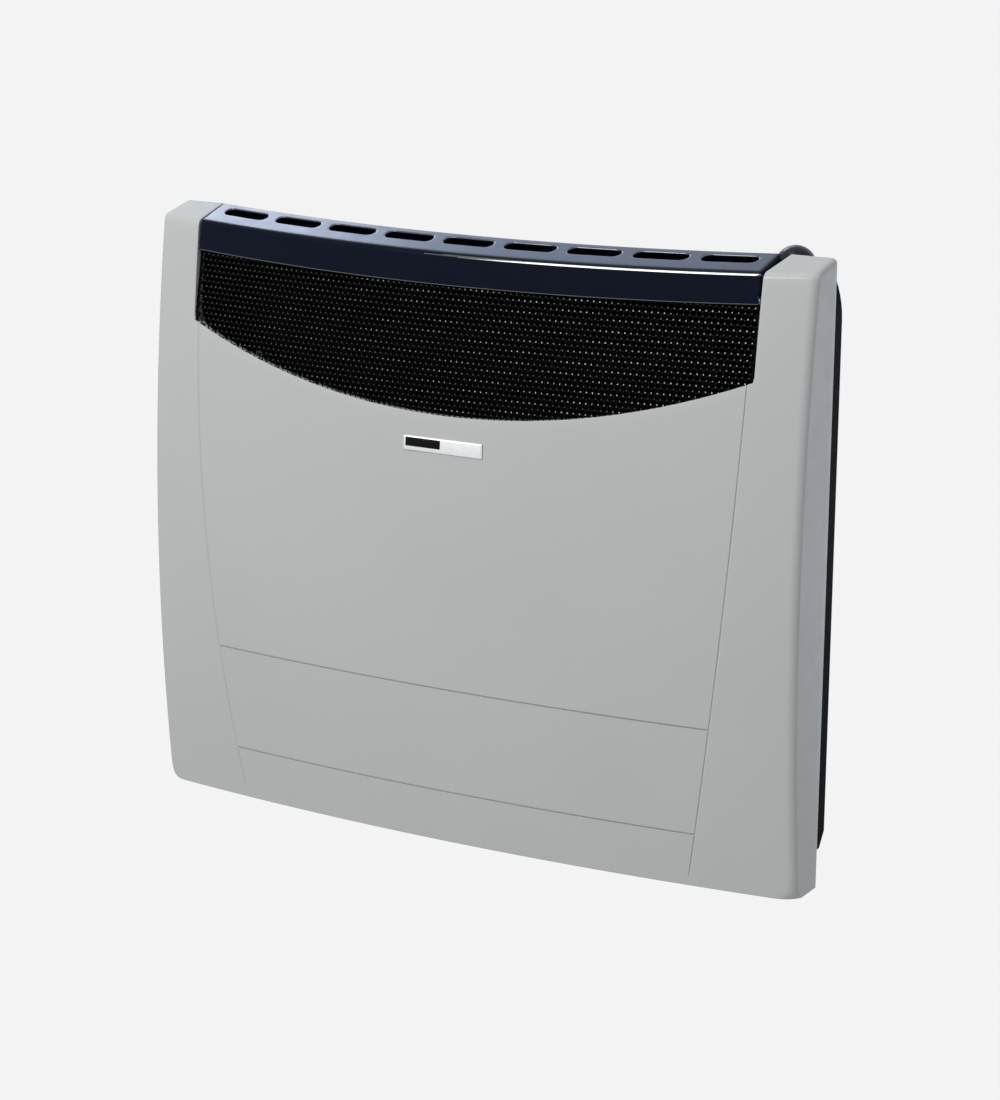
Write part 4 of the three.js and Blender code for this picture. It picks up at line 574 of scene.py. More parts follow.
class Finish:
    """A material in the making: one principled shader, with noise for colour, gloss and relief."""

    def __init__(self, name, colour, roughness, metallic=0.0, **sockets):
        self.material = bpy.data.materials.new(name)
        self.material.use_nodes = True
        self.nodes = self.material.node_tree.nodes
        self.links = self.material.node_tree.links
        self.shader = self.nodes["Principled BSDF"]
        self.colour = colour
        self.shader.inputs["Base Color"].default_value = (*colour, 1.0)
        self.shader.inputs["Roughness"].default_value = roughness
        self.shader.inputs["Metallic"].default_value = metallic
        for socket, value in sockets.items():
            self.shader.inputs[socket.replace("_", " ")].default_value = value
        self.roughness = roughness
        self.place = self.nodes.new("ShaderNodeTexCoord").outputs["Object"]

    def noise(self, per_metre, detail=3.0, stretch=(1.0, 1.0, 1.0)):
        scale = self.nodes.new("ShaderNodeMapping")
        scale.inputs["Scale"].default_value = stretch
        self.links.new(self.place, scale.inputs["Vector"])
        texture = self.nodes.new("ShaderNodeTexNoise")
        texture.inputs["Scale"].default_value = per_metre
        texture.inputs["Detail"].default_value = detail
        self.links.new(scale.outputs[0], texture.inputs["Vector"])
        return texture.outputs["Fac"]

    def spread(self, source, low, high):
        remap = self.nodes.new("ShaderNodeMapRange")
        for end, noise, value in zip(("Min", "Max"), NOISE_RANGE, (low, high)):
            remap.inputs["From " + end].default_value = noise
            remap.inputs["To " + end].default_value = value
        self.links.new(source, remap.inputs["Value"])
        return remap.outputs[0]

    def tint(self, source, darker, lighter):
        ramp = self.nodes.new("ShaderNodeMix")
        ramp.data_type = "RGBA"
        ramp.inputs["A"].default_value = (*[c * darker for c in self.colour], 1.0)
        ramp.inputs["B"].default_value = (*[min(1.0, c * lighter) for c in self.colour], 1.0)
        self.links.new(self.spread(source, 0.0, 1.0), ramp.inputs["Factor"])
        self.links.new(ramp.outputs["Result"], self.shader.inputs["Base Color"])

    def gloss(self, source, swing):
        low, high = self.roughness - swing, self.roughness + swing
        self.links.new(self.spread(source, low, high), self.shader.inputs["Roughness"])

    def relief(self, source, strength, height):
        bump = self.nodes.new("ShaderNodeBump")
        bump.inputs["Strength"].default_value = strength
        bump.inputs["Distance"].default_value = height
        self.links.new(source, bump.inputs["Height"])
        self.links.new(bump.outputs[0], self.shader.inputs["Normal"])


def enamel(name, **sockets):
    finish = Finish(name, (0.457, 0.469, 0.460), 0.45, IOR=1.13, **sockets)
    finish.tint(finish.noise(5.0, 2.0), 0.985, 1.015)
    finish.gloss(finish.noise(60.0, 4.0), 0.04)
    finish.relief(finish.noise(650.0, 2.0), 0.12, 0.00006)
    return finish.material


casing.data.materials.append(enamel("grey_enamel"))
casing.data.materials.append(enamel(
    "grey_enamel_edge", Coat_Weight=0.35, Coat_Roughness=0.12, Coat_IOR=1.5))
for face in casing.data.polygons:
    forward, rise, height = -face.normal.y, face.normal.z, face.center.z
    edge = EDGE_RISE[0] < rise < EDGE_RISE[1] and forward > EDGE_FORWARD
    ledge = rise > LEDGE_RISE and forward > LEDGE_FORWARD
    if (edge and height > EDGE_ABOVE * MM) or (ledge and height < LEDGE_BELOW * MM):
        face.material_index = 1

# ---- Vent cover -----------------------------------------------------------
# A glossy blue-black moulding that closes the top between the pillars. It has a turned-down
# lip in front, nine slots with round ends, and a flange down at the back.

COVER_RECESS = 1.6
COVER_DEPTH = 43.8
COVER_TOP = (585.8, 598.9)
COVER_TOP_RISE = (5.8, 5.35)
COVER_LIP_FOOT = (555.6, 6.8)
COVER_HALF = (307.4, 308.4)
COVER_SHIFT = -0.6
COVER_EDGE = 6.3
COVER_HEM = 1.1
COVER_REAR_EDGE = 2.0
COVER_REAR_FLANGE = (8.0, 17.0)
COVER_END_FOLD = 2.2
COVER_END_FLANGE = 6.0
COVER_SHEET = 1.3
COVER_INNER_LIP = 3.0
COVER_BAND_ROW = 2
COVER_BAND_FROM = (5.0, -32.0, -12.0)
COVER_TOP_FACING = 0.8
SLOT_PITCH = 66.4
SLOT_HALF = 27.0
SLOT_RADIUS = 7.1
SLOT_LINE = 28.5
SLOT_CELL_HALF = 11.5
SLOT_COUNT = 9
SLOT_EDGE = 0.8
SLOT_WALL = 3.2
HEM_ROWS = 3
LIP_ROWS = 6
ARC_ROWS = 10
FLAT_ROWS = 3
REAR_ROWS = 2
TAIL_ROWS = 5
END_ROWS = 4
SLOT_SHARES = (0.45, 0.8, 1.0)
SLOT_TURNS = 3
CELL_ACROSS = 16
CELL_DEEP = 4
TOP_TILT = math.atan2(COVER_TOP[1] - COVER_TOP[0], COVER_DEPTH - COVER_RECESS)


def cover_top(x, w):
    """Place of the cover's top face at x, w behind the casing's front."""
    u2 = (x / COVER_HALF[0]) ** 2
    share = (w - COVER_RECESS) / (COVER_DEPTH - COVER_RECESS)
    front = COVER_TOP[0] + COVER_TOP_RISE[0] * u2
    rear = COVER_TOP[1] + COVER_TOP_RISE[1] * u2
    return front_y(x, COVER_TOP[0]) + w, front + (rear - front) * share


def cover_section(x, row):
    """One row of the cover's profile: y, z and the outward direction in that plane."""
    kind, value = row
    sink, lift = math.sin(TOP_TILT), math.cos(TOP_TILT)
    if kind == "flat":
        return (*cover_top(x, value), -sink, lift)
    if kind in ("tail", "down"):
        y, z = cover_top(x, COVER_DEPTH - COVER_REAR_EDGE)
        y, z = y + COVER_REAR_EDGE * sink, z - COVER_REAR_EDGE * lift
        if kind == "down":
            return y + COVER_REAR_EDGE, z - value, 1.0, 0.0
        ny, nz = math.sin(value), math.cos(value)
        return y + COVER_REAR_EDGE * ny, z + COVER_REAR_EDGE * nz, ny, nz
    front, top = cover_top(x, COVER_RECESS)
    centre_z = top - COVER_EDGE * (1.0 - sink) / lift
    if kind == "arc":
        ny, nz = -math.cos(value), math.sin(value)
        return front + COVER_EDGE * (1.0 + ny), centre_z + COVER_EDGE * nz, ny, nz
    foot = COVER_LIP_FOOT[0] + COVER_LIP_FOOT[1] * (x / COVER_HALF[0]) ** 2
    if kind == "lip":
        z = foot + COVER_HEM + (centre_z - foot - COVER_HEM) * value
        return front + (front_y(x, z) - front_y(x, centre_z)), z, -1.0, 0.0
    y = front + (front_y(x, foot) - front_y(x, centre_z)) + COVER_HEM
    if kind == "hem":
        ny, nz = -math.cos(value), math.sin(value)
        return y + COVER_HEM * ny, foot + COVER_HEM + COVER_HEM * nz, ny, nz
    return y + value, foot, 0.0, -1.0


def slot_outline(x, w, middle, grow):
    """The slot's edge point that a point of its cell's rim runs to."""
    straight = SLOT_HALF - SLOT_RADIUS
    dx, dw, radius = x - middle, w - SLOT_LINE, SLOT_RADIUS + grow
    if abs(dx) <= straight:
        return x, SLOT_LINE + math.copysign(radius, dw)
    centre = math.copysign(straight, dx)
    turn = math.atan2(dw, dx - centre)
    return middle + centre + radius * math.cos(turn), SLOT_LINE + radius * math.sin(turn)


def build_cover():
    points, faces, index = [], [], {}

    def vertex(x, row, fold=(0.0, 0.0), drop=0.0, tag=""):
        """fold is how far an end's edge has turned out, and in along the profile's normal."""
        key = (tag, round(x, 4), row[0], round(row[1], 4), fold, round(drop, 4))
        if key not in index:
            y, z, ny, nz = cover_section(x, row)
            depth = min(max(y - front_y(x, COVER_TOP[0]), 0.0), COVER_DEPTH)
            half = COVER_HALF[0] + (COVER_HALF[1] - COVER_HALF[0]) * depth / COVER_DEPTH
            across = x * half / COVER_HALF[0] + math.copysign(fold[0], x)
            inward = fold[1] + drop
            index[key] = len(points)
            points.append((across + COVER_SHIFT, y - ny * inward, z - nz * inward))
        return index[key]

    near, far = SLOT_LINE - SLOT_CELL_HALF, SLOT_LINE + SLOT_CELL_HALF
    tangent = COVER_RECESS + COVER_EDGE * (1.0 - math.sin(TOP_TILT))
    front = [("inner", COVER_INNER_LIP)]
    front += [("hem", a) for a in steps(-math.pi / 2, 0.0, HEM_ROWS)[:-1]]
    front += [("lip", v) for v in steps(0.0, 1.0, LIP_ROWS)[:-1]]
    band_start = len(front) + COVER_BAND_ROW
    front += [("arc", a) for a in steps(0.0, math.pi / 2 - TOP_TILT, ARC_ROWS)[:-1]]
    front += [("flat", w) for w in steps(tangent, near, FLAT_ROWS)]
    cells = [("flat", w) for w in steps(near, far, CELL_DEEP)]
    rear = [("flat", w) for w in steps(far, COVER_DEPTH - COVER_REAR_EDGE, REAR_ROWS)]
    rear += [("tail", a) for a in steps(-TOP_TILT, math.pi / 2, TAIL_ROWS)[1:]]
    rear += [("down", d) for d in COVER_REAR_FLANGE]

    edge = SLOT_COUNT / 2 * SLOT_PITCH
    end = COVER_HALF[0] - COVER_END_FOLD
    inner = [round(-edge + SLOT_PITCH * i / CELL_ACROSS, 5)
             for i in range(SLOT_COUNT * CELL_ACROSS + 1)]
    folds = [(COVER_END_FOLD * math.sin(a), COVER_END_FOLD * (1.0 - math.cos(a)))
             for a in steps(0.0, math.pi / 2, END_ROWS)[1:]]
    folds.append((COVER_END_FOLD, COVER_END_FOLD + COVER_END_FLANGE))
    right_end = [(x, (0.0, 0.0)) for x in (edge, (edge + end) / 2, end)]
    right_end += [(end, fold) for fold in folds]
    left_end = [(-x, fold) for x, fold in reversed(right_end)]
    whole = left_end[:-1] + [(x, (0.0, 0.0)) for x in inner] + right_end[1:]
    band, rims = [], []

    def strip(columns, rows, banded=()):
        for r, (low, high) in enumerate(zip(rows, rows[1:])):
            for (x0, f0), (x1, f1) in zip(columns, columns[1:]):
                if r in banded:
                    band.append((len(faces), banded.index(r)))
                elif low[0] == "hem":
                    rims.append(len(faces))
                faces.append([vertex(x0, low, f0), vertex(x1, low, f1),
                              vertex(x1, high, f1), vertex(x0, high, f0)])

    strip(whole, front, range(band_start, band_start + len(COVER_BAND_FROM)))
    strip(left_end, cells)
    strip(right_end, cells)
    strip(whole, rear)

    for cell in range(SLOT_COUNT):
        xs = inner[cell * CELL_ACROSS:(cell + 1) * CELL_ACROSS + 1]
        middle = (xs[0] + xs[-1]) / 2
        ws = steps(near, far, CELL_DEEP)
        rim = [(x, near) for x in xs[:-1]] + [(xs[-1], w) for w in ws[:-1]]
        rim += [(x, far) for x in xs[:0:-1]] + [(xs[0], w) for w in ws[:0:-1]]
        rings = [[vertex(x, ("flat", w)) for x, w in rim]]
        spots = [slot_outline(x, w, middle, SLOT_EDGE) for x, w in rim]
        for share in SLOT_SHARES:
            rings.append([
                vertex(x + (sx - x) * share, ("flat", w + (sw - w) * share), tag=f"{cell}_{share}")
                for (x, w), (sx, sw) in zip(rim, spots)])
        for turn in steps(0.0, math.pi / 2, SLOT_TURNS)[1:] + [None]:
            grow = 0.0 if turn is None else SLOT_EDGE * (1.0 - math.sin(turn))
            drop = SLOT_WALL if turn is None else SLOT_EDGE * (1.0 - math.cos(turn))
            spots = [slot_outline(x, w, middle, grow) for x, w in rim]
            rings.append([vertex(x, ("flat", w), drop=drop, tag=f"{cell}_rim") for x, w in spots])
        for level, (low, high) in enumerate(zip(rings, rings[1:])):
            if len(SLOT_SHARES) <= level < len(SLOT_SHARES) + SLOT_TURNS:
                rims += range(len(faces), len(faces) + len(rim))
            join_rings(faces, low, high)
    return points, faces, band, rims


cover_points, cover_faces, cover_band, cover_rims = build_cover()
cover = add_piece("cover_shell", cover_points, cover_faces)
for face in cover.data.polygons:
    face.material_index = 2 if face.normal.z > COVER_TOP_FACING else 0
for i, row in cover_band:
    face = cover.data.polygons[i]
    if face.center.x > COVER_BAND_FROM[row] * MM:
        face.material_index = 1
for i in cover_rims:
    cover.data.polygons[i].material_index = 1


def navy_gloss(name, coat=0.0, bend=1.15):
    finish = Finish(name, (0.0022, 0.0045, 0.0125), 0.24, IOR=bend, Coat_Weight=coat,
                    Coat_Roughness=0.08, Coat_IOR=2.0)
    finish.tint(finish.noise(20.0, 2.0), 0.9, 1.1)
    finish.gloss(finish.noise(40.0, 3.0), 0.03)
    finish.relief(finish.noise(300.0, 2.0), 0.05, 0.00003)
    return finish.material


cover.data.materials.append(navy_gloss("navy_gloss"))
cover.data.materials.append(navy_gloss("navy_gloss_rounding", coat=1.0))
cover.data.materials.append(navy_gloss("navy_gloss_top", bend=1.3))
thicken(cover, COVER_SHEET)
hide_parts("vent_cover")

# ---- Perforated grille ----------------------------------------------------
# Black painted sheet behind the opening, punched with staggered round holes. It follows the
# front's bow, leans back towards the top, and has a plain margin along the curved edge.

GRILLE_HALF = 307.8
GRILLE_START = 8.0
GRILLE_TOP = 573.0
GRILLE_OVERLAP = 7.0
GRILLE_PAST_EDGE = 0.3
GRILLE_MARGINS = (2.8, 2.0, 5.0)
GRILLE_SHEET = 0.9
GRILLE_RECESS = (1.6, 5.2)
GRILLE_LEAN = (483.0, 77.0)
GRILLE_TOP_LEAN = (560.0, 0.1)
HOLE_PITCH = 6.12
HOLE_ROW = 5.22
HOLE_RIM = ((2.72, 0.08), (2.5, 0.42))
WEB_RADIUS = 0.62
WEB_SPREAD = 1.15
WEB_RISE = 0.22
WEB_SUNK = -0.1
WEB_SIDES = 6
WEB_TILT = 0.36
WEB_TURN = 0.05
WEB_UNEVEN = 0.1
WEB_SCATTER = (12.9, 78.2, 2.0)
WEB_MARGINS = (3.0, 1.0, 8.0)


def grille_y(x, z):
    share = clamped((z - GRILLE_LEAN[0]) / GRILLE_LEAN[1])
    eased = share * share * (3.0 - 2.0 * share)
    lean = GRILLE_RECESS[0] + (GRILLE_RECESS[1] - GRILLE_RECESS[0]) * eased
    return front_y(x, z) + lean + max(0.0, z - GRILLE_TOP_LEAN[0]) * GRILLE_TOP_LEAN[1]


def hole_places():
    """Row, number and centre of each place in the staggered field of holes."""
    row, z = 0, SMILE_LOW - GRILLE_START
    count = int(GRILLE_HALF / HOLE_PITCH) + 2
    while z < GRILLE_TOP:
        shift = HOLE_PITCH / 2 if row % 2 else 0.0
        for i in range(-count, count + 1):
            yield row, i, i * HOLE_PITCH + shift, z
        row, z = row + 1, z + HOLE_ROW


def build_grille():
    points, faces, index = [], [], {}
    corner = [(HOLE_PITCH / 2 * a, HOLE_ROW / 3 * b)
              for a, b in ((1, 1), (0, 2), (-1, 1), (-1, -1), (0, -2), (1, -1))]
    cell = []
    for i in range(6):
        (ax, az), (bx, bz) = corner[i], corner[(i + 1) % 6]
        cell += [(ax, az), ((ax + bx) / 2, (az + bz) / 2)]

    def vertex(x, z, sunk=0.0):
        x = min(GRILLE_HALF, max(-GRILLE_HALF, x))
        key = (round(x, 2), round(z, 2), sunk)
        if key not in index:
            index[key] = len(points)
            points.append((x, grille_y(x, z) + sunk, z))
        return index[key]

    side, foot, top = GRILLE_MARGINS
    for row, i, x, z in hole_places():
        if abs(x) > GRILLE_HALF + HOLE_PITCH * GRILLE_PAST_EDGE or z < smile(x) - GRILLE_OVERLAP:
            continue
        outer = [vertex(x + dx, z + dz) for dx, dz in cell]
        if z < smile(x) - foot or abs(x) > GRILLE_HALF - side or z > GRILLE_TOP - top:
            centre = vertex(x, z)
            for a, b in zip(outer, outer[1:] + outer[:1]):
                if a != b and centre not in (a, b):
                    faces.append([centre, a, b])
            continue
        rings = [outer]
        for radius, sunk in HOLE_RIM:
            rings.append([vertex(x + radius * math.cos(turn), z + radius * math.sin(turn), sunk)
                          for turn in (math.atan2(dz, dx) for dx, dz in cell)])
        for low, high in zip(rings, rings[1:]):
            join_rings(faces, low, high)
    return points, faces


def build_webs():
    """The little pressed facets that punching leaves where three holes meet."""
    points, faces = [], []
    side, foot, top = WEB_MARGINS
    for row, i, x, z in hole_places():
        up = z + HOLE_ROW / 3 * 2
        if abs(x) > GRILLE_HALF - side or not smile(x) - foot < up < GRILLE_TOP - top:
            continue
        y = grille_y(x, up)
        uneven = WEB_UNEVEN * math.sin(i * WEB_SCATTER[0] + row * WEB_SCATTER[1] + WEB_SCATTER[2])
        across, upward = uneven - WEB_TURN, WEB_TILT + uneven
        rings = []
        for radius, out in ((WEB_RADIUS * WEB_SPREAD, WEB_SUNK), (WEB_RADIUS, WEB_RISE)):
            rings.append(list(range(len(points), len(points) + WEB_SIDES)))
            for k in range(WEB_SIDES):
                turn = 2.0 * math.pi * (k + 0.5) / WEB_SIDES
                dx, dz = radius * math.cos(turn), radius * math.sin(turn)
                tilt = across * dx + upward * dz if out > 0 else 0.0
                points.append((x + dx, y - out + tilt, up + dz))
        join_rings(faces, *rings)
        faces += [rings[1], rings[0][::-1]]
    return points, faces


def black_paint(name, tone, roughness, **sockets):
    finish = Finish(name, (tone, tone, tone * 1.08), roughness, **sockets)
    finish.tint(finish.noise(30.0, 3.0), 0.8, 1.25)
    finish.gloss(finish.noise(120.0, 3.0), 0.06)
    finish.relief(finish.noise(900.0, 2.0), 0.08, 0.00004)
    return finish.material


def worn_webs():
    """The same paint, rubbed smoother where it stands proud."""
    finish = Finish("grille_webs_paint", (0.005, 0.005, 0.0055), 0.27, IOR=1.65)
    finish.tint(finish.noise(45.0, 3.0), 0.4, 2.0)
    finish.gloss(finish.noise(160.0, 3.0), 0.10)
    return finish.material


grille = add_piece("grille_sheet", *build_grille())
face_out(grille, (0, -1, 0))
thicken(grille, GRILLE_SHEET)
webs = add_piece("grille_webs", *build_webs(), smooth=False)
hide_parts("perforated_grille")
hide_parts("perforated_grille")
grille.data.materials.append(black_paint("grille_paint", 0.0012, 0.25, IOR=1.1))
webs.data.materials.append(worn_webs())

# ---- Badge ----------------------------------------------------------------
# A small bevelled plate of bright metal, stuck to the panel below the opening, with a black
# inlay at its upper left. Both are left blank.

BADGE_HALF = (43.6, 7.2)
BADGE_PLACE = (-1.8, 403.7)
BADGE_THICK = 1.8
BADGE_BEVEL = (1.15, 0.95)
BADGE_RADIUS = 0.5
BADGE_LEVELS = (
    (0.0, 0.05),
    (0.0, BADGE_THICK - BADGE_BEVEL[1] - 0.15),
    (0.12, BADGE_THICK - BADGE_BEVEL[1]),
    (BADGE_BEVEL[0], BADGE_THICK - 0.05),
    (BADGE_BEVEL[0] + 0.15, BADGE_THICK))
INLAY_HALF = (19.2, 4.3)
INLAY_SHIFT = (-21.2, 1.3)
INLAY_RADIUS = 0.9
INLAY_LEVELS = ((0.0, BADGE_THICK + 0.02), (0.0, BADGE_THICK + 0.12), (0.12, BADGE_THICK + 0.2))


def on_panel(right, out, up):
    """A point given along, out of and up the panel, measured from the badge's centre."""
    x, z = BADGE_PLACE
    turn = math.atan2(front_y(x + 1.0, z) - front_y(x - 1.0, z), 2.0)
    lean = math.atan2(front_y(x, z + 1.0) - front_y(x, z - 1.0), 2.0)
    y_out = -out * math.cos(lean) + up * math.sin(lean)
    z_up = up * math.cos(lean) + out * math.sin(lean)
    return (x + right * math.cos(turn) - y_out * math.sin(turn),
            front_y(x, z) + right * math.sin(turn) + y_out * math.cos(turn), z + z_up)


def rounded_outline(half, radius, corner_steps=5):
    outline = []
    for quarter, (sx, sz) in enumerate(((1, 1), (-1, 1), (-1, -1), (1, -1))):
        for angle in steps(0.0, math.pi / 2, corner_steps):
            turn = quarter * math.pi / 2 + angle
            outline.append((sx * (half[0] - radius) + radius * math.cos(turn),
                            sz * (half[1] - radius) + radius * math.sin(turn)))
    return outline


def closed_stack(stack):
    """Joins closed rings of points, each above the last, and closes both ends."""
    points, faces, rings = [], [], []
    for level in stack:
        rings.append(list(range(len(points), len(points) + len(level))))
        points += level
    for low, high in zip(rings, rings[1:]):
        join_rings(faces, low, high)
    return points, faces + [rings[0][::-1], rings[-1]]


def stacked_plate(half, radius, levels, shift=(0.0, 0.0)):
    """A plate built of levels (inset, height out of the panel)."""
    stack = []
    for inset, out in levels:
        outline = rounded_outline((half[0] - inset, half[1] - inset), max(radius - inset, 0.15))
        stack.append([on_panel(shift[0] + u, out, shift[1] + v) for u, v in outline])
    return closed_stack(stack)


def soften(obj, degrees=32.0):
    """Smooth faces, kept sharp where they meet at more than the given angle."""
    obj.data.polygons.foreach_set("use_smooth", [True] * len(obj.data.polygons))
    obj.data.set_sharp_from_angle(angle=math.radians(degrees))


def bright_metal():
    finish = Finish("bright_badge", (0.80, 0.80, 0.82), 0.30, 0.92)
    finish.tint(finish.noise(90.0, 2.0, (1.0, 1.0, 22.0)), 0.93, 1.05)
    finish.gloss(finish.noise(140.0, 3.0, (1.0, 1.0, 20.0)), 0.07)
    finish.relief(finish.noise(1500.0, 2.0, (0.06, 1.0, 1.0)), 0.12, 0.00003)
    return finish.material


badge = add_piece("badge", *stacked_plate(BADGE_HALF, BADGE_RADIUS, BADGE_LEVELS))
soften(badge, 25.0)
badge.data.materials.append(bright_metal())
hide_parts("badge_plate")

inlay = add_piece("badge_inlay_field", *stacked_plate(
    INLAY_HALF, INLAY_RADIUS, INLAY_LEVELS, INLAY_SHIFT))
soften(inlay, 40.0)
inlay.data.materials.append(black_paint("inlay_enamel", 0.002, 0.2, IOR=1.2))
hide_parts("badge_inlay")

# ---- Knob -----------------------------------------------------------------
# A moulded knob in the cover's navy plastic: a low dome over a plain rim, with fine grip
# flutes below. It is pushed on the flatted end of the extension rod.

CONTROL_AXIS = (305.3, -29.1)
KNOB_FOOT = 572.0
KNOB_RADIUS = 19.7
DOME_CENTRE = 587.1
KNOB_FLUTES = 36
FLUTE_DEPTH = 0.35
FLUTE_ENDS = (1.0, 3.2, 1.5)
DOME_STEPS = 22
DOME_FLAT = 0.06
DOME_SHARE = 0.999


def turned(profile, axis, sides, wave):
    """A closed shape turned about an upright axis. The profile runs from its foot to its top."""
    stack = []
    for r, z in profile:
        ring = []
        for i in range(sides):
            turn = 2.0 * math.pi * i / sides
            radius = r + wave(turn, z)
            ring.append((axis[0] + radius * math.cos(turn), axis[1] + radius * math.sin(turn), z))
        stack.append(ring)
    return closed_stack(stack)


def knob_profile():
    profile = [(KNOB_RADIUS - less, KNOB_FOOT + up)
               for less, up in ((2.2, 0.0), (1.0, 0.3), (0.5, 1.2))]
    profile += [(KNOB_RADIUS - 0.5, z) for z in steps(KNOB_FOOT + 2.0, DOME_CENTRE - 4.0, 4)]
    profile += [(KNOB_RADIUS - 0.1, DOME_CENTRE - 3.0), (KNOB_RADIUS, DOME_CENTRE - 2.2)]
    for angle in steps(0.0, math.pi / 2 - DOME_FLAT, DOME_STEPS):
        rise = KNOB_RADIUS * math.sin(angle) * DOME_SHARE
        profile.append((KNOB_RADIUS * math.cos(angle), DOME_CENTRE + rise))
    return profile


def knob_flute(turn, z):
    below, above, fade = FLUTE_ENDS
    share = clamped((z - KNOB_FOOT - below) / fade) * clamped((DOME_CENTRE - above - z) / fade)
    return -FLUTE_DEPTH * share * (0.5 + 0.5 * math.cos(KNOB_FLUTES * turn))


knob = add_piece(
    "knob", *turned(knob_profile(), CONTROL_AXIS, KNOB_FLUTES * 6, knob_flute), body="knob_and_rod")
soften(knob, 40.0)
knob.data.materials.append(navy_gloss("knob_gloss", bend=1.3))
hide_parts("control_knob")

# ---- Rear chassis and rails -----------------------------------------------
# The heater is built on a shallow box of black painted sheet steel that hangs on two wall
# screws. A deflector closes it above, and two zinc-plated rails across it carry the chamber.

CREASE = math.radians(40.0)
FLAT_WITHIN = math.radians(1.0)
BACK_LAYER = 3.0
BACK_FACING = 0.7

chassis_paint = black_paint("chassis_paint", 0.0050, 0.6, IOR=1.05)
# The same black paint in a lighter tone for the faces towards the wall. This is painted light, so
# the back still shows its shape while the sides stay dark.
back_painted_light = black_paint("chassis_back_painted_light", 0.020, 0.42, IOR=1.36)


def dress(finish, *names):
    """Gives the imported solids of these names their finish."""
    for name in names:
        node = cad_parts[name]
        node.data.materials.clear()
        node.data.materials.append(finish)


def softened_copy(name, finish, body="heater_body", bevel=0.35):
    """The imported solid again, with its sheared or machined edges broken as on the real metal."""
    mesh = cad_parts[name].data.copy()
    obj = bpy.data.objects.new(name + "_finished", mesh)
    bpy.context.scene.collection.objects.link(obj)
    mesh.materials.clear()
    cut = bmesh.new()
    cut.from_mesh(mesh)
    bmesh.ops.remove_doubles(cut, verts=cut.verts, dist=1e-6)
    bmesh.ops.dissolve_limit(cut, angle_limit=FLAT_WITHIN, verts=cut.verts, edges=cut.edges)
    cut.to_mesh(mesh)
    cut.free()
    edge = obj.modifiers.new("broken_edges", "BEVEL")
    edge.width = bevel * MM
    edge.segments = 2
    edge.limit_method = "ANGLE"
    edge.angle_limit = CREASE
    edge.use_clamp_overlap = True
    soften(obj, 35.0)
    steady = obj.modifiers.new("flat_faces_stay_flat", "WEIGHTED_NORMAL")
    steady.weight = 100
    steady.keep_sharp = True
    apply_modifiers(obj)
    obj.data.materials.append(finish)
    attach(obj, body)
    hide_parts(name)
    return obj.data


def zinc_plate():
    finish = Finish("zinc_plate", (0.52, 0.53, 0.54), 0.34, 0.85)
    grain = finish.nodes.new("ShaderNodeTexVoronoi")
    grain.inputs["Scale"].default_value = 160.0
    finish.links.new(finish.place, grain.inputs["Vector"])
    finish.tint(grain.outputs["Distance"], 0.72, 1.2)
    finish.gloss(grain.outputs["Distance"], 0.09)
    finish.relief(finish.noise(500.0, 3.0), 0.15, 0.00005)
    return finish.material


zinc = zinc_plate()
for name in ("rear_chassis", "top_deflector"):
    tray = softened_copy(name, chassis_paint)
    tray.materials.append(back_painted_light)
    # Faces towards the wall take the lighter, painted-light copy of the black, and the rest keep
    # the darker one.
    for face in tray.polygons:
        to_wall = face.normal.y > BACK_FACING and face.center.y > -BACK_LAYER * MM
        face.material_index = 1 if to_wall else 0
for name in ("upper_rail", "lower_rail", "casing_hook_right", "casing_hook_left",
             "cover_bracket_right", "cover_bracket_left", "lower_bracket_right",
             "lower_bracket_left", "knob_shelf", "inlet_bracket"):
    softened_copy(name, zinc, bevel=0.25)
dress(zinc, "valve_bracket", "pilot_bracket", "burner_plate", "burner_support_left",
      "burner_support_right", "sight_glass_frame")

# ---- Sealed chamber -------------------------------------------------------
# Two pressed trays in black vitreous enamel, clamped on a woven gasket, make the sealed
# chamber. A baffle inside guides the hot gas to the upper duct, and fresh air enters by the
# lower one. Burner, valve and collars are cast aluminium.


def vitreous_black():
    finish = Finish("vitreous_black", (0.0018, 0.0018, 0.002), 0.6, IOR=1.05)
    finish.tint(finish.noise(35.0, 4.0), 0.6, 1.6)
    finish.gloss(finish.noise(90.0, 3.0), 0.08)
    finish.relief(finish.noise(420.0, 4.0), 0.35, 0.00012)
    return finish.material


def woven_gasket():
    finish = Finish("woven_gasket", (0.035, 0.034, 0.032), 0.9)
    finish.tint(finish.noise(600.0, 2.0, (1.0, 3.0, 3.0)), 0.8, 1.08)
    finish.relief(finish.noise(900.0, 2.0, (1.0, 4.0, 4.0)), 0.6, 0.0002)
    return finish.material


def plated_steel():
    finish = Finish("plated_steel", (0.60, 0.61, 0.62), 0.28, 0.95)
    finish.tint(finish.noise(200.0, 3.0), 0.85, 1.08)
    finish.gloss(finish.noise(350.0, 3.0), 0.1)
    finish.relief(finish.noise(1200.0, 2.0, (1.0, 1.0, 0.1)), 0.15, 0.00003)
    return finish.material


def cast_aluminium():
    finish = Finish("cast_aluminium", (0.62, 0.63, 0.64), 0.45, 0.9)
    finish.tint(finish.noise(120.0, 4.0), 0.82, 1.06)
    finish.gloss(finish.noise(260.0, 3.0), 0.12)
    finish.relief(finish.noise(1400.0, 3.0), 0.35, 0.0001)
    return finish.material


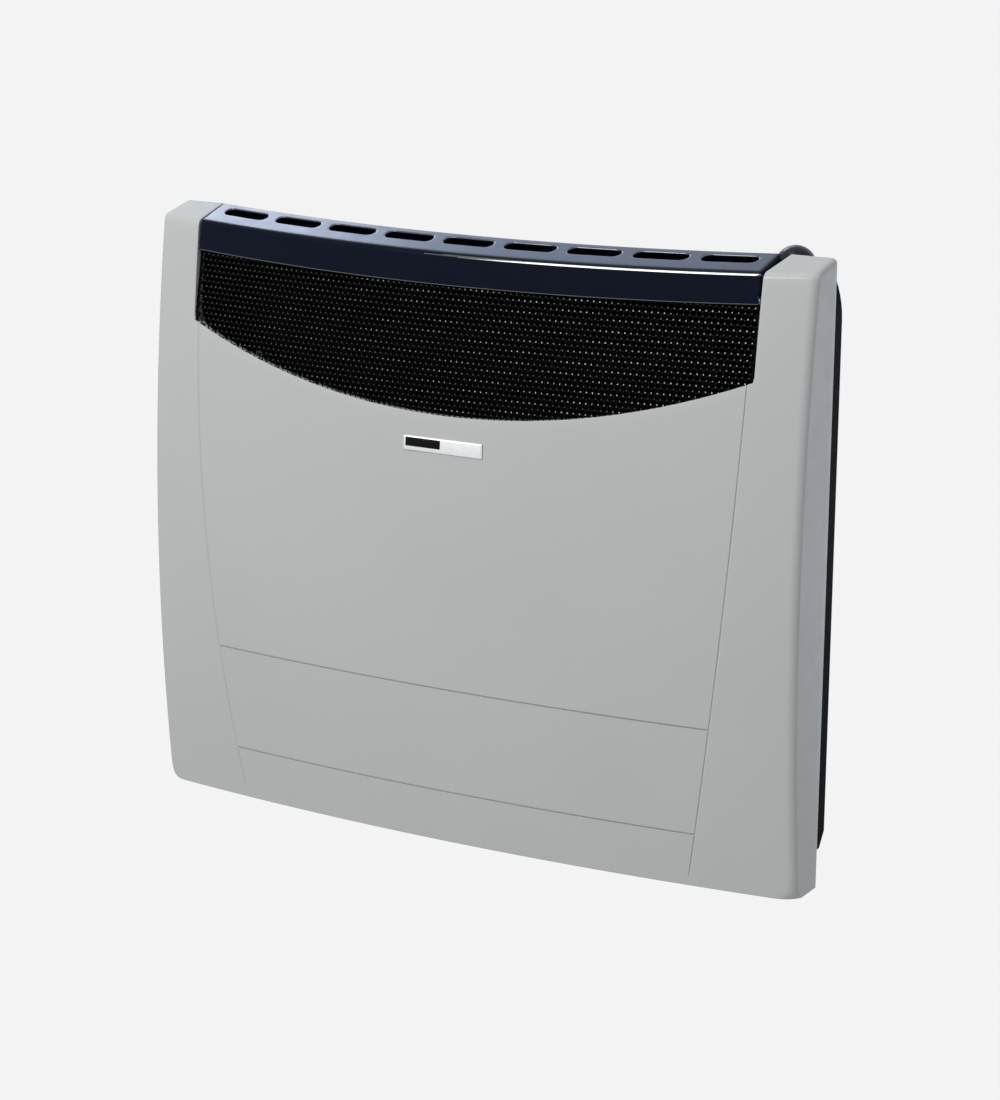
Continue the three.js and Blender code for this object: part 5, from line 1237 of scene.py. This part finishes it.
gasket, steel, aluminium = woven_gasket(), plated_steel(), cast_aluminium()
dress(vitreous_black(), "chamber_rear_tray", "chamber_front_tray", "flue_baffle")
dress(gasket, "chamber_gasket", "exhaust_gasket", "intake_gasket", "burner_gasket")
dress(aluminium, "burner_tube", "pilot_pipe")
dress(steel, "chamber_bolt_lower_left", "chamber_bolt_upper_left", "chamber_bolt_lower_right",
      "chamber_bolt_upper_right")
for name in ("exhaust_collar", "intake_collar", "gas_valve"):
    softened_copy(name, aluminium)
for name in ("casing_screw_left", "casing_screw_right", "inlet_pipe"):
    softened_copy(name, steel, bevel=0.2)
softened_copy("extension_rod", steel, "knob_and_rod", 0.3)


def clear_pane():
    finish = Finish("clear_pane", (0.94, 0.97, 0.96), 0.03, Transmission_Weight=1.0, IOR=1.47)
    finish.gloss(finish.noise(60.0, 2.0), 0.015)
    return finish.material


dress(clear_pane(), "sight_glass")

# ---- Gas train ------------------------------------------------------------
# The gas runs through a brass nipple, a steel inlet pipe, the thermostatic valve, a copper supply
# pipe and a brass jet. A pilot group with thermocouple and ignition electrode sits in front of the
# burner.


def turned_brass():
    finish = Finish("turned_brass", (0.72, 0.52, 0.22), 0.27, 1.0)
    finish.tint(finish.noise(80.0, 3.0), 0.8, 1.08)
    finish.gloss(finish.noise(300.0, 2.0, (1.0, 1.0, 6.0)), 0.08)
    finish.relief(finish.noise(900.0, 2.0, (0.2, 0.2, 8.0)), 0.2, 0.00004)
    return finish.material


def drawn_copper():
    finish = Finish("drawn_copper", (0.70, 0.33, 0.20), 0.3, 1.0)
    finish.tint(finish.noise(50.0, 4.0), 0.6, 1.08)
    finish.gloss(finish.noise(150.0, 3.0), 0.12)
    return finish.material


def glazed_ceramic():
    finish = Finish("glazed_ceramic", (0.80, 0.78, 0.71), 0.2)
    finish.tint(finish.noise(300.0, 3.0), 0.93, 1.04)
    finish.gloss(finish.noise(200.0, 2.0), 0.06)
    return finish.material


def dark_plastic():
    finish = Finish("dark_plastic", (0.018, 0.018, 0.02), 0.5)
    finish.tint(finish.noise(90.0, 2.0), 0.85, 1.15)
    finish.gloss(finish.noise(250.0, 3.0), 0.08)
    finish.relief(finish.noise(1600.0, 2.0), 0.3, 0.00005)
    return finish.material


brass = turned_brass()
dress(brass, "gas_jet", "jet_holder", "pilot_burner", "valve_spindle")
softened_copy("gas_inlet_nipple", brass, bevel=0.5)
dress(drawn_copper(), "thermocouple", "burner_supply_pipe", "thermocouple_lead")
dress(glazed_ceramic(), "ignition_electrode")
dress(dark_plastic(), "rod_bush", "ignition_wire")
